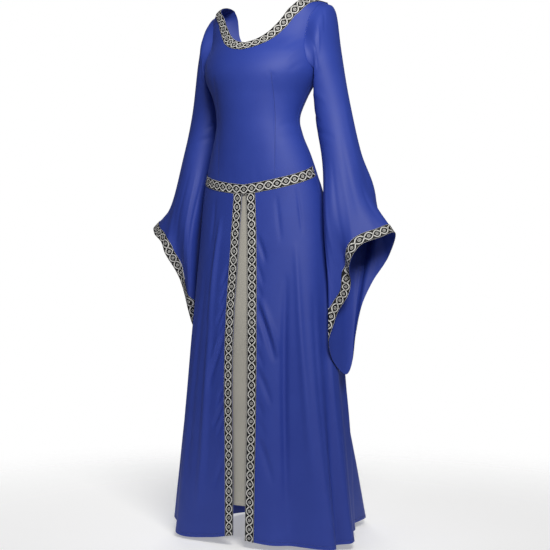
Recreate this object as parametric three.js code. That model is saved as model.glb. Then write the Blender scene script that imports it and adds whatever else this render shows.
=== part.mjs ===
// A long gown with bell sleeves, worn and hollow, in millimetres
// +Z is up, the front faces -Y and +X is the wearer's left
// The origin lies midway between the two shoulder tops, where the gown hangs from its wearer
import * as THREE from 'three';

// Cloth and ribbon
const CLOTH = 1.2;
const RIBBON = 1;
const RIBBON_WIDTH = 25;
const SEAM = 0.35;
const PANEL_DROP = 2;

// Lengths and widths of the cut
const HEM_Z = -1400;
const WAIST_SIDE_Z = -455;
const WAIST_FRONT_Z = -503;
const WAIST_BACK_Z = -462;
const UNDERPANEL_HEM_Z = -1308;
const UNDERARM_Z = -206;
const NECK_HALF = 130;
const STRAP = 26;
const SHOULDER_SLOPE = 0.4;

// How finely each piece is divided
const FRONT_COLUMNS = 12;
const BACK_COLUMNS = 11;
const SIDE_ROWS = 5;
const ARMHOLE_ROWS = 9;
const STRAP_ROWS = 9;
const STRAP_COLUMNS = 3;
const MERGE_STEPS = 500;
const SKIRT_ROWS = 14;
const PANEL_COLUMNS = 3;
const SLEEVE_COLUMNS = 2 * (ARMHOLE_ROWS + STRAP_ROWS);
const SLEEVE_RINGS = 13;
const RIBBON_HIGHEST = 0.7;
const LEVEL_TOP = 0.9;
const CUFF_POINTS = 240;

// Girth of the gown at each height: half width at the side seam, then the Y of its front, back and side seam
const GIRTHS = [
  { z: -5, half: 168, front: -70, back: 18, side: -1 },
  { z: -22, half: 170, front: -122, back: 40, side: -8 },
  { z: -60, half: 172, front: -130, back: 54, side: -22 },
  { z: -110, half: 160, front: -152, back: 57, side: -40 },
  { z: -160, half: 163, front: -186, back: 50, side: -56 },
  { z: -206, half: 157, front: -200, back: 34, side: -68 },
  { z: -262, half: 129, front: -193, back: 10, side: -78 },
  { z: -315, half: 115, front: -185, back: -10, side: -92 },
  { z: -358, half: 121, front: -181, back: 0, side: -90 },
  { z: -408, half: 139, front: -176, back: 18, side: -82 },
  { z: -461, half: 155, front: -172, back: 36, side: -77 },
  { z: -520, half: 170, front: -168, back: 52, side: -70 },
  { z: -600, half: 180, front: -171, back: 68, side: -66 },
  { z: -700, half: 190, front: -177, back: 88, side: -66 },
  { z: -850, half: 203, front: -187, back: 124, side: -70 },
  { z: -1000, half: 218, front: -191, back: 160, side: -76 },
  { z: -1125, half: 231, front: -191, back: 196, side: -80 },
  { z: -1250, half: 244, front: -192, back: 230, side: -83 },
  { z: HEM_Z, half: 259, front: -194, back: 256, side: -85 },
  { z: -1450, half: 264, front: -195, back: 266, side: -86 },
];
const RIDGE = { z: 0, half: 166, reach: 0, side: 0 };

// Folds that open towards the hem: bearing from the front centre, half spread, share of the girth, top
const FOLDS = [
  { bearing: -160, spread: 13, share: -0.07, top: -620 },
  { bearing: -138, spread: 13, share: 0.13, top: -560 },
  { bearing: -116, spread: 12, share: -0.09, top: -640 },
  { bearing: -92, spread: 13, share: 0.03, top: -700 },
  { bearing: -70, spread: 12, share: -0.05, top: -700 },
  { bearing: -46, spread: 14, share: 0.07, top: -560 },
  { bearing: -24, spread: 11, share: -0.03, top: -800 },
  { bearing: 17, spread: 12, share: 0.06, top: -700 },
  { bearing: 35, spread: 10, share: -0.12, top: -600 },
  { bearing: 54, spread: 12, share: 0.14, top: -620 },
  { bearing: 74, spread: 9, share: -0.08, top: -560 },
  { bearing: 90, spread: 10, share: 0.04, top: -600 },
  { bearing: 106, spread: 9, share: -0.14, top: -760 },
  { bearing: 128, spread: 12, share: -0.13, top: -900 },
  { bearing: 149, spread: 10, share: 0.15, top: -580 },
  { bearing: 176, spread: 12, share: -0.06, top: -640 },
];
const FOLD_GROWTH = 1.2;

// Neck edge from the front centre over the shoulder to the back centre
const NECK_FRONT = [
  { x: 0, z: -127 },
  { x: 27, z: -120 },
  { x: 52, z: -103 },
  { x: 74, z: -76 },
  { x: 93, z: -44 },
  { x: 112, z: -20 },
  { x: NECK_HALF, z: 0 },
];
const NECK_BACK = [
  { x: 0, z: -150 },
  { x: 42, z: -144 },
  { x: 82, z: -122 },
  { x: 118, z: -84 },
  { x: 128, z: -38 },
  { x: NECK_HALF, z: 0 },
];

// Armhole from the underarm up to the shoulder end
const ARMHOLE_FRONT = [
  { x: 153, z: -180 },
  { x: 144, z: -145 },
  { x: 139, z: -105 },
  { x: 143, z: -60 },
  { x: 153, z: -22 },
  { x: NECK_HALF + STRAP, z: 0 },
];
const ARMHOLE_BACK = [
  { x: 147, z: -180 },
  { x: 143, z: -145 },
  { x: 147, z: -105 },
  { x: 154, z: -60 },
  { x: 158, z: -22 },
  { x: NECK_HALF + STRAP, z: 0 },
];

// Height of the hem round each half of the skirt, by its bearing from the front centre
const HEM_LEFT = [
  { bearing: 0, z: -1392 },
  { bearing: 20, z: -1400 },
  { bearing: 60, z: -1402 },
  { bearing: 100, z: -1394 },
  { bearing: 150, z: -1398 },
  { bearing: 180, z: -1404 },
];
const HEM_RIGHT = [
  { bearing: 0, z: -1381 },
  { bearing: 20, z: -1398 },
  { bearing: 45, z: -1406 },
  { bearing: 90, z: -1376 },
  { bearing: 135, z: -1410 },
  { bearing: 180, z: -1404 },
];

// Half width of the front opening
const OPENING = [
  { z: -500, half: 5.5 },
  { z: -620, half: 12 },
  { z: -840, half: 20 },
  { z: -1000, half: 22 },
  { z: -1226, half: 19 },
  { z: -1450, half: 17 },
];

// Rings of the left sleeve: outer, front, under and back points, after the armhole
const SLEEVE = [
  {
    along: 0.09,
    outer: [180, -10, -34],
    front: [170, -98, -112],
    under: [160, -62, -214],
    back: [166, 6, -110],
  },
  {
    along: 0.22,
    outer: [203, -32, -140],
    front: [178, -94, -180],
    under: [148, -54, -256],
    back: [176, 12, -180],
  },
  {
    along: 0.4,
    outer: [233, -33, -290],
    front: [188, -82, -312],
    under: [147, -36, -338],
    back: [190, 15, -312],
  },
  {
    along: 0.56,
    outer: [259, -34, -400],
    front: [212, -90, -425],
    under: [171, -46, -450],
    back: [216, 20, -425],
  },
  {
    along: 0.76,
    outer: [294, -34, -520],
    front: [240, -108, -570],
    under: [194, -80, -640],
    back: [250, 40, -560],
  },
];

// Cuff edge of the left sleeve, by its share of a turn from the wrist over the front
// The right one hangs further back and up
const CUFF = [
  { turn: 0, x: 359, y: -31, z: -618, rightBack: 0, rightRise: 26 },
  { turn: 0.07, x: 335, y: -76, z: -629, rightBack: 0, rightRise: 20 },
  { turn: 0.14, x: 297, y: -99, z: -646, rightBack: 0, rightRise: 12 },
  { turn: 0.2, x: 277, y: -110, z: -675, rightBack: 0, rightRise: 8 },
  { turn: 0.25, x: 263, y: -99, z: -708, rightBack: 10, rightRise: 4 },
  { turn: 0.3, x: 254, y: -68, z: -742, rightBack: 0, rightRise: 0 },
  { turn: 0.35, x: 243, y: -66, z: -776, rightBack: 0, rightRise: 0 },
  { turn: 0.4, x: 227, y: -86, z: -812, rightBack: 10, rightRise: 0 },
  { turn: 0.45, x: 221, y: -103, z: -848, rightBack: 34, rightRise: 0 },
  { turn: 0.5, x: 213, y: -112, z: -890, rightBack: 60, rightRise: 0 },
  { turn: 0.55, x: 216, y: -95, z: -938, rightBack: 62, rightRise: 0 },
  { turn: 0.6, x: 229, y: -49, z: -976, rightBack: 50, rightRise: 0 },
  { turn: 0.66, x: 239, y: -30, z: -950, rightBack: 38, rightRise: 0 },
  { turn: 0.74, x: 245, y: -23, z: -880, rightBack: 26, rightRise: 0 },
  { turn: 0.82, x: 258, y: -14, z: -805, rightBack: 14, rightRise: 4 },
  { turn: 0.89, x: 281, y: 8, z: -738, rightBack: 6, rightRise: 10 },
  { turn: 0.95, x: 314, y: 26, z: -680, rightBack: 0, rightRise: 18 },
];

const BLUE = new THREE.MeshStandardMaterial({ color: 0x2f3f9e, roughness: 0.5, metalness: 0 });
const IVORY = new THREE.MeshStandardMaterial({ color: 0xd9d6cb, roughness: 0.6, metalness: 0 });
const BRAID = new THREE.MeshStandardMaterial({ color: 0x3b3a38, roughness: 0.55, metalness: 0.1 });

const mix = THREE.MathUtils.lerp;

// Value of a smooth curve through evenly spaced values
function smooth(values, place) {
  const last = values.length - 1;
  const at = Math.min(Math.max(place, 0), last);
  const k = Math.min(Math.floor(at), last - 1);
  const f = at - k;
  const p1 = values[k];
  const p2 = values[k + 1];
  const p0 = k > 0 ? values[k - 1] : 2 * p1 - p2;
  const p3 = k + 2 <= last ? values[k + 2] : 2 * p2 - p1;
  return p1 + 0.5 * f * (p2 - p0 + f * (2 * p0 - 5 * p1 + 4 * p2 - p3 + f * (3 * (p1 - p2) + p3 - p0)));
}

// Value of a column of a table at a given reading of its key column
function readTable(rows, key, column, reading) {
  const rising = rows[1][key] > rows[0][key];
  let k = 0;
  while (k < rows.length - 2 && (rising ? reading > rows[k + 1][key] : reading < rows[k + 1][key])) k += 1;
  const f = (reading - rows[k][key]) / (rows[k + 1][key] - rows[k][key]);
  return smooth(rows.map((row) => row[column]), k + f);
}

// The girths in order from the front hem over the shoulder ridge to the back hem
const frontGirths = GIRTHS.map((g) => ({ z: g.z, half: g.half, reach: g.front - g.side, side: g.side }));
const backGirths = GIRTHS.map((g) => ({ z: g.z, half: g.half, reach: g.back - g.side, side: g.side }));
const LOOP = [...frontGirths.reverse(), RIDGE, ...backGirths];
const RIDGE_PLACE = GIRTHS.length;
const COLUMN = {
  z: LOOP.map((row) => row.z),
  half: LOOP.map((row) => row.half),
  reach: LOOP.map((row) => row.reach),
  side: LOOP.map((row) => row.side),
};

// Place in the loop of girths for a height, on the front (-1) or the back (+1)
function placeOf(z, face) {
  let low = 0;
  let high = GIRTHS.length;
  for (let step = 0; step < 40; step += 1) {
    const middle = 0.5 * (low + high);
    if (smooth(COLUMN.z, RIDGE_PLACE + face * middle) > z) low = middle;
    else high = middle;
  }
  return RIDGE_PLACE + face * 0.5 * (low + high);
}

// Outward share of the folds at a bearing round the skirt
function foldShare(bearing, z) {
  let share = 0;
  for (const fold of FOLDS) {
    if (z < fold.top) {
      const turn = THREE.MathUtils.euclideanModulo(bearing - fold.bearing + 180, 360) - 180;
      const growth = ((fold.top - z) / (fold.top - HEM_Z)) ** FOLD_GROWTH;
      share += fold.share * growth * Math.exp(-((turn / fold.spread) ** 2));
    }
  }
  return share;
}

// Point of the gown's outer face at a place in the loop of girths and an angle from the centre line
function form(place, angle) {
  const half = smooth(COLUMN.half, place);
  const side = smooth(COLUMN.side, place);
  const reach = smooth(COLUMN.reach, place);
  const z = smooth(COLUMN.z, place);
  const bearing = place < RIDGE_PLACE ? angle : Math.sign(angle || 1) * Math.PI - angle;
  const swell = 1 + foldShare(THREE.MathUtils.radToDeg(bearing), z);
  const x = half * Math.sin(angle) * swell;
  const past = Math.max(Math.abs(x) - NECK_HALF, 0);
  const slope = z > UNDERARM_Z ? SHOULDER_SLOPE * past * (1 - z / UNDERARM_Z) ** 2 : 0;
  return new THREE.Vector3(x, side + reach * Math.cos(angle) * swell, z - slope);
}

// Angle at which the form reaches a distance from the centre line
function angleOf(x, place) {
  return Math.asin(THREE.MathUtils.clamp(x / smooth(COLUMN.half, place), -1, 1));
}

// A curve given by heights and distances, as [place, angle] pairs on one face of the form
function edgeOnForm(rows, face) {
  return rows.map((row) => {
    const place = row.z === 0 ? RIDGE_PLACE : placeOf(row.z, face);
    return [place, angleOf(row.x, place)];
  });
}

// Point at a share of a curve of pairs
function along(pairs, share) {
  const at = share * (pairs.length - 1);
  return [smooth(pairs.map((pair) => pair[0]), at), smooth(pairs.map((pair) => pair[1]), at)];
}

// The curve of pairs again, with its points evenly spaced on the form
function evenly(pairs, count) {
  const steps = 8 * count;
  const points = Array.from({ length: steps + 1 }, (_, k) => form(...along(pairs, k / steps)));
  const run = [0];
  for (let k = 1; k <= steps; k += 1) run.push(run[k - 1] + points[k].distanceTo(points[k - 1]));
  const result = [];
  let k = 0;
  for (let i = 0; i <= count; i += 1) {
    const wanted = (run[steps] * i) / count;
    while (k < steps - 1 && run[k + 1] < wanted) k += 1;
    result.push(along(pairs, (k + (wanted - run[k]) / (run[k + 1] - run[k])) / steps));
  }
  return result;
}

// Pair reached by walking a distance over the form, square to a curve's direction
function walkAside(pair, direction, distance, towards) {
  const pace = 0.5;
  let [place, angle] = pair;
  for (let gone = 0; gone < distance; gone += pace) {
    const here = form(place, angle);
    const byPlace = form(place + 0.001, angle).sub(here).multiplyScalar(1000);
    const byAngle = form(place, angle + 0.001).sub(here).multiplyScalar(1000);
    const normal = byAngle.clone().cross(byPlace).normalize();
    const aside = normal.cross(direction).normalize().multiplyScalar(towards * pace);
    const pp = byPlace.dot(byPlace);
    const pa = byPlace.dot(byAngle);
    const aa = byAngle.dot(byAngle);
    const det = pp * aa - pa * pa;
    const dp = aside.dot(byPlace);
    const da = aside.dot(byAngle);
    place += (dp * aa - da * pa) / det;
    angle += (da * pp - dp * pa) / det;
  }
  return [place, angle];
}

// Closed wall over patches of { point, normal } that meet in shared points, its outer face lifted off them
function wall(patches, thickness, lift = 0) {
  const spots = [];
  const known = new Map();
  const idOf = (spot) => {
    const key = spot.point.toArray().map((value) => Math.round(value * MERGE_STEPS)).join();
    if (!known.has(key)) known.set(key, spots.push(spot) - 1);
    return known.get(key);
  };
  const triangles = [];
  for (const patch of patches) {
    const ids = patch.map((column) => column.map(idOf));
    for (let i = 0; i < ids.length - 1; i += 1) {
      for (let j = 0; j < ids[i].length - 1; j += 1) {
        triangles.push([ids[i][j], ids[i + 1][j], ids[i + 1][j + 1]]);
        triangles.push([ids[i][j], ids[i + 1][j + 1], ids[i][j + 1]]);
      }
    }
  }
  const kept = triangles.filter((triangle) => new Set(triangle).size === 3);
  const edges = kept.flatMap(([a, b, c]) => [[a, b], [b, c], [c, a]]);
  const drawn = new Set(edges.map((edge) => edge.join()));
  const faces = [];
  const inner = spots.length;
  for (const [a, b, c] of kept) faces.push(a, b, c, inner + a, inner + c, inner + b);
  for (const [a, b] of edges) {
    if (!drawn.has([b, a].join())) faces.push(b, a, inner + a, b, inner + a, inner + b);
  }
  const positions = [lift, lift - thickness].flatMap((by) => {
    return spots.flatMap(({ point, normal }) => point.clone().addScaledVector(normal, by).toArray());
  });
  const geometry = new THREE.BufferGeometry();
  geometry.setAttribute('position', new THREE.Float32BufferAttribute(positions, 3));
  geometry.setIndex(faces);
  geometry.computeVertexNormals();
  return geometry;
}

function mesh(name, geometry, material) {
  const piece = new THREE.Mesh(geometry, material);
  piece.name = name;
  return piece;
}

// Grid point of the form with its outward normal
function onForm([place, angle]) {
  const point = form(place, angle);
  const byPlace = form(place + 0.002, angle).sub(form(place - 0.002, angle));
  const byAngle = form(place, angle + 0.002).sub(form(place, angle - 0.002));
  return { point, normal: byAngle.cross(byPlace).normalize() };
}

// Height of the waist seam at an angle from the centre line
function waistSeam(angle, face) {
  const middle = face < 0 ? WAIST_FRONT_Z : WAIST_BACK_Z;
  return mix(middle, WAIST_SIDE_Z, Math.abs(angle / (Math.PI / 2)) ** 1.25);
}

// Angle of a column at a height: the front opening's edge, the ribbon's edge, then evenly to the side seam
function columnAngle(column, z, face) {
  const place = placeOf(z, face);
  const opening = readTable(OPENING, 'z', 'half', Math.min(z, OPENING[0].z));
  const edge = face < 0 ? angleOf(opening, place) : angleOf(SEAM / 2, place);
  const side = Math.PI / 2 - SEAM / 2 / Math.abs(smooth(COLUMN.reach, place));
  if (face > 0) return mix(edge, side, column / BACK_COLUMNS);
  const ribbon = angleOf(opening + RIBBON_WIDTH, place);
  if (column === 0) return edge;
  return mix(ribbon, side, (column - 1) / (FRONT_COLUMNS - 1));
}

// Pairs inside four edges: low and high run across, near and far run up
function fill(low, high, near, far) {
  return low.map((foot, i) => near.map((_, j) => {
    const s = i / (low.length - 1);
    const t = j / (near.length - 1);
    return [0, 1].map((k) => {
      const rise = mix(foot[k], high[i][k], t);
      const span = mix(near[j][k], far[j][k], s);
      const corners = mix(mix(near[0][k], far[0][k], s), mix(high[0][k], high[high.length - 1][k], s), t);
      return rise + span - corners;
    });
  }));
}

// Left half of a bodice panel as patches of pairs: body up to the strap's foot, strap, and band at the neck
function bodiceHalf(face) {
  const columns = face < 0 ? FRONT_COLUMNS : BACK_COLUMNS;
  const inner = columns - STRAP_COLUMNS;
  const neck = evenly(edgeOnForm(face < 0 ? NECK_FRONT : NECK_BACK, face), inner + STRAP_ROWS);
  const armhole = edgeOnForm(face < 0 ? ARMHOLE_FRONT : ARMHOLE_BACK, face);
  const end = armhole[armhole.length - 1];
  const band = neck.map((pair, i) => {
    if (i === neck.length - 1) return end;
    const before = form(...neck[Math.max(i - 1, 0)]);
    const after = form(...neck[i + 1]);
    if (i === 0) before.reflect(new THREE.Vector3(1, 0, 0));
    const [place, angle] = walkAside(pair, after.sub(before), RIBBON_WIDTH, face);
    return [place, i === 0 ? 0 : angle];
  });
  const underarm = [placeOf(UNDERARM_Z, face), columnAngle(columns, UNDERARM_Z, face)];
  const opening = evenly([underarm, ...armhole], ARMHOLE_ROWS + STRAP_ROWS);
  const strapFoot = opening[ARMHOLE_ROWS];
  const foot = Array.from({ length: columns + 1 }, (_, i) => {
    const angle = columnAngle(i, WAIST_SIDE_Z, face);
    const centred = i === 0 && face < 0 ? 0 : angle;
    return [placeOf(waistSeam(centred, face) + SEAM, face), centred];
  });
  const overRibbon = (angle) => placeOf(waistSeam(angle, face) + RIBBON_WIDTH / 2, face);
  const ribbonTop = foot.map(([, angle]) => [overRibbon(angle), angle]);
  const strapNeck = band[inner];
  const across = Array.from({ length: STRAP_COLUMNS + 1 }, (_, i) => {
    return [0, 1].map((k) => mix(strapNeck[k], strapFoot[k], i / STRAP_COLUMNS));
  });
  const high = [...band.slice(0, inner), ...across];
  const rows = SIDE_ROWS + ARMHOLE_ROWS;
  const near = [];
  const far = [];
  for (let j = 0; j <= rows; j += 1) {
    near.push([mix(ribbonTop[0][0], band[0][0], j / rows), ribbonTop[0][1]]);
    const z = mix(smooth(COLUMN.z, ribbonTop[columns][0]), UNDERARM_Z, j / SIDE_ROWS);
    far.push(j > SIDE_ROWS ? opening[j - SIDE_ROWS] : [placeOf(z, face), columnAngle(columns, z, face)]);
  }
  near[rows][1] = band[0][1];
  const body = fill(ribbonTop, high, near, far).map((column, i) => [foot[i], ...column]);
  const strap = fill(across, across.map(() => end), band.slice(inner), opening.slice(ARMHOLE_ROWS));
  const edge = neck.map((pair, i) => [band[i], [0, 1].map((k) => mix(band[i][k], pair[k], 0.5)), pair]);
  return { patches: [body, strap, edge], opening };
}

// The other half of patches of pairs, ordered so that their faces still point out
function mirrored(patches) {
  const flip = (column) => column.map(([place, angle]) => [place, -angle]);
  return patches.map((columns) => columns.map(flip).reverse());
}

// The pair moved down the face by half a seam where it touches the shoulder ridge
function clearOfRidge([place, angle], face) {
  const limit = RIDGE_PLACE + face * 0.006;
  return [face < 0 ? Math.min(place, limit) : Math.max(place, limit), angle];
}

const frontHalf = bodiceHalf(-1);
const backHalf = bodiceHalf(1);

const spotsOf = (patches) => patches.map((columns) => columns.map((column) => column.map(onForm)));

function bodiceFront() {
  const clear = (column) => column.map((pair) => clearOfRidge(pair, -1));
  const left = frontHalf.patches.map((patch) => patch.map(clear));
  return wall(spotsOf([...left, ...mirrored(left)]), CLOTH);
}

// A back panel, its centre edge half a seam from the centre line
function bodiceBack(side) {
  const clear = backHalf.patches.map((patch) => patch.map((column) => column.map(([place, angle]) => {
    return clearOfRidge([place, Math.max(angle, angleOf(SEAM / 2, place))], 1);
  })));
  return wall(spotsOf((side > 0 ? clear : mirrored(clear)).map(turned)), CLOTH);
}

// A patch with its columns in the other order
function turned(patch) {
  return [...patch].reverse();
}

// Heights of the skirt's rows below the waist seam, the first band as deep as the ribbon's lower half
function skirtHeights(seam, hem) {
  const band = seam - RIBBON_WIDTH / 2;
  const heights = [seam, band];
  for (let j = 1; j <= SKIRT_ROWS; j += 1) heights.push(mix(band, hem, j / SKIRT_ROWS));
  return heights;
}

// Pairs down one column of the skirt, from the waist seam to a hem height
function skirtColumn(column, side, face, hem) {
  const seam = waistSeam(columnAngle(column, WAIST_SIDE_Z, face), face);
  const heights = skirtHeights(seam - SEAM / 2, hem);
  return heights.map((z) => [placeOf(z, face), side * columnAngle(column, z, face)]);
}

// Pairs of one quarter of the skirt, from the centre column to the side seam, top to hem
function skirtQuarter(side, face) {
  const columns = face < 0 ? FRONT_COLUMNS : BACK_COLUMNS;
  const grid = [];
  for (let i = 0; i <= columns; i += 1) {
    const degrees = THREE.MathUtils.radToDeg(columnAngle(i, HEM_Z, face));
    const bearing = face < 0 ? degrees : 180 - degrees;
    const hem = readTable(side > 0 ? HEM_LEFT : HEM_RIGHT, 'bearing', 'z', bearing);
    grid.push(skirtColumn(i, side, face, hem));
  }
  return grid;
}

// Columns run to the wearer's left on the front and to the right on the back, so that faces point out
function outFacing(quarter, side, face) {
  const columns = quarter.map((column) => column.map(onForm).reverse());
  return side * face < 0 ? columns : columns.reverse();
}

function skirtPanel(side, face) {
  return wall([outFacing(skirtQuarter(side, face), side, face)], CLOTH);
}

// Ribbon beside the front opening, on the skirt's own points
function openingRibbon(side) {
  const strip = skirtQuarter(side, -1).slice(0, 2).map((column) => {
    const rows = column.slice(1);
    const top = smooth(COLUMN.z, rows[0][0]) - SEAM;
    return [[placeOf(top, -1), rows[0][1]], ...rows.slice(1)];
  });
  return wall([outFacing(strip, side, -1)], RIBBON, SEAM + RIBBON);
}

// Ribbon over the front waist seam, from side seam to side seam
function waistRibbon() {
  const left = frontHalf.patches[0].map(([[, angle], [top]]) => {
    const seam = waistSeam(angle, -1);
    return [[placeOf(seam - RIBBON_WIDTH / 2, -1), angle], [placeOf(seam, -1), angle], [top, angle]];
  });
  return wall(spotsOf([left, ...mirrored([left])]), RIBBON, SEAM + RIBBON);
}

// Ribbon round the neck, on the bands at the neck edge of the front and back panels
function neckRibbon() {
  const front = frontHalf.patches[2];
  const back = backHalf.patches[2];
  const bands = [front, ...mirrored([front]), turned(back), ...mirrored([back]).map(turned)];
  return wall(spotsOf(bands), RIBBON, SEAM + RIBBON);
}

// Ivory panel behind the front opening, held at the waist seam and hung inside the skirt fronts
function underPanel() {
  const grid = [];
  for (let k = 1 - PANEL_COLUMNS; k <= PANEL_COLUMNS; k += 1) {
    const side = k > 0 ? 1 : -1;
    const spots = skirtColumn(k > 0 ? k - 1 : -k, side, -1, UNDERPANEL_HEM_Z).map(onForm);
    spots.slice(1).forEach(({ point, normal }) => point.addScaledVector(normal, -PANEL_DROP));
    grid.push(spots.reverse());
  }
  return wall([grid], CLOTH, -CLOTH - SEAM);
}

// Ring through an outer, front, under and back point, at a share of a turn
function ringPoint(row, turn) {
  const outer = new THREE.Vector3(...row.outer);
  const front = new THREE.Vector3(...row.front);
  const under = new THREE.Vector3(...row.under);
  const back = new THREE.Vector3(...row.back);
  const angle = 2 * Math.PI * turn;
  const centre = outer.clone().add(front).add(under).add(back).multiplyScalar(0.25);
  const squash = outer.clone().add(under).sub(front).sub(back).multiplyScalar(0.25 * Math.cos(2 * angle));
  const across = outer.sub(under).multiplyScalar(0.5 * Math.cos(angle));
  const deep = front.sub(back).multiplyScalar(0.5 * Math.sin(angle));
  return centre.add(across).add(deep).add(squash);
}

// The left armhole's corners, from the shoulder end over the front and the underarm to the back
const ARMHOLE_EDGE = [...[...frontHalf.opening].reverse(), ...backHalf.opening.slice(1, -1)].map(onForm);

// Point where a sleeve starts, a seam's gap off the armhole, and the way off, at a share of a turn
function armholePoint(turn) {
  const at = turn * ARMHOLE_EDGE.length;
  const corner = (k) => ARMHOLE_EDGE[THREE.MathUtils.euclideanModulo(k, ARMHOLE_EDGE.length)];
  const low = corner(Math.floor(at));
  const high = corner(Math.ceil(at));
  const point = low.point.clone().lerp(high.point, at - Math.floor(at));
  const normal = low.normal.clone().lerp(high.normal, at - Math.floor(at)).normalize();
  const run = corner(Math.floor(at) + 1).point.clone().sub(corner(Math.ceil(at) - 1).point);
  const off = normal.cross(run).normalize();
  return { point: point.addScaledVector(off, SEAM), off };
}

// Point of the cuff edge at a share of a turn
function cuffPoint(turn, side) {
  const rows = [...CUFF.slice(-2).map((row) => ({ ...row, turn: row.turn - 1 })), ...CUFF];
  rows.push(...CUFF.slice(0, 3).map((row) => ({ ...row, turn: row.turn + 1 })));
  const read = (column) => readTable(rows, 'turn', column, turn);
  const shift = (column) => (side < 0 ? read(column) : 0);
  return new THREE.Vector3(read('x'), read('y') + shift('rightBack'), read('z') + shift('rightRise'));
}

// Point of the left-hand form of a sleeve, from the armhole (0) to the cuff (1)
function sleevePoint(share, turn, side) {
  const stations = [
    { along: 0, point: armholePoint(turn).point },
    ...SLEEVE.map((row) => ({ along: row.along, point: ringPoint(row, turn) })),
    { along: 1, point: cuffPoint(turn, side) },
  ];
  const flat = stations.map(({ along: at, point }) => ({ at, x: point.x, y: point.y, z: point.z }));
  return new THREE.Vector3(...['x', 'y', 'z'].map((column) => readTable(flat, 'at', column, share)));
}

// Share of the length at the cuff ribbon's upper edge, a ribbon's width from the line of the cuff
function ribbonTop(turn, side, line) {
  let low = RIBBON_HIGHEST;
  let high = 1;
  for (let step = 0; step < 16; step += 1) {
    const middle = 0.5 * (low + high);
    const point = sleevePoint(middle, turn, side);
    const gap = Math.min(...line.map((spot) => spot.distanceTo(point)));
    if (gap > RIBBON_WIDTH) low = middle;
    else high = middle;
  }
  return low;
}

// Shares down a sleeve: level rings at the armhole, then ever nearer the ribbon's line, and the ribbon's rows
function sleeveShares(top) {
  const shares = [];
  for (let j = 0; j <= SLEEVE_RINGS; j += 1) {
    const even = j / SLEEVE_RINGS;
    shares.push(even * THREE.MathUtils.lerp(LEVEL_TOP, top, even));
  }
  return [...shares, 0.5 * (top + 1), 1];
}

// Columns of a sleeve with normals; the right sleeve is mirrored, with its columns reversed
function sleeveGrid(side) {
  const line = [];
  for (let k = 0; k < CUFF_POINTS; k += 1) line.push(cuffPoint(k / CUFF_POINTS, side));
  const tops = [];
  for (let i = 0; i < SLEEVE_COLUMNS; i += 1) tops.push(ribbonTop(i / SLEEVE_COLUMNS, side, line));
  const grid = tops.map((top, i) => {
    const turn = i / SLEEVE_COLUMNS;
    const beside = tops[(i + 1) % SLEEVE_COLUMNS] + tops[(i + SLEEVE_COLUMNS - 1) % SLEEVE_COLUMNS];
    return sleeveShares(0.5 * top + 0.25 * beside).map((share) => sleevePoint(share, turn, side));
  });
  const centre = new THREE.Vector3();
  grid.forEach((column) => centre.addScaledVector(column[0], 1 / SLEEVE_COLUMNS));
  const columns = grid.map((column, i) => column.map((point, j) => {
    const next = grid[(i + 1) % SLEEVE_COLUMNS][j];
    const last = grid[(i + SLEEVE_COLUMNS - 1) % SLEEVE_COLUMNS][j];
    const round = [next, column[j - 1], last, column[j + 1], next];
    const normal = new THREE.Vector3();
    for (let k = 0; k < 4; k += 1) {
      if (round[k] && round[k + 1]) {
        normal.add(round[k].clone().sub(point).cross(round[k + 1].clone().sub(point)).normalize());
      }
    }
    return { point: point.clone(), normal: normal.normalize() };
  }));
  if (columns[0][3].normal.dot(columns[0][3].point.clone().sub(centre)) < 0) {
    columns.flat().forEach((spot) => spot.normal.negate());
  }
  columns.forEach(([{ normal }], i) => {
    const { off } = armholePoint(i / SLEEVE_COLUMNS);
    normal.addScaledVector(off, -normal.dot(off)).normalize();
  });
  if (side > 0) return columns;
  const flipped = columns.map((column) => column.map(({ point, normal }) => ({
    point: point.setX(-point.x),
    normal: normal.setX(-normal.x),
  })));
  return flipped.reverse();
}

const gown = new THREE.Group();
gown.add(mesh('bodice_front', bodiceFront(), BLUE));
gown.add(mesh('underpanel', underPanel(), IVORY));
gown.add(mesh('waist_trim', waistRibbon(), BRAID));
gown.add(mesh('neck_trim', neckRibbon(), BRAID));
for (const [hand, side] of [['left', 1], ['right', -1]]) {
  gown.add(mesh(`bodice_back_${hand}`, bodiceBack(side), BLUE));
  gown.add(mesh(`skirt_front_${hand}`, skirtPanel(side, -1), BLUE));
  gown.add(mesh(`skirt_back_${hand}`, skirtPanel(side, 1), BLUE));
  gown.add(mesh(`slit_trim_${hand}`, openingRibbon(side), BRAID));
  const sleeve = sleeveGrid(side);
  const tube = [...sleeve, sleeve[0]];
  gown.add(mesh(`sleeve_${hand}`, wall([tube], CLOTH), BLUE));
  const cuff = tube.map((column) => column.slice(-3));
  gown.add(mesh(`cuff_trim_${hand}`, wall([cuff], RIBBON, SEAM + RIBBON), BRAID));
}

export default gown;
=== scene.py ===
# A long gown with bell sleeves: its cloth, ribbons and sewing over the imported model
# Tables are in millimetres and degrees, and meshes in metres
import math

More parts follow.
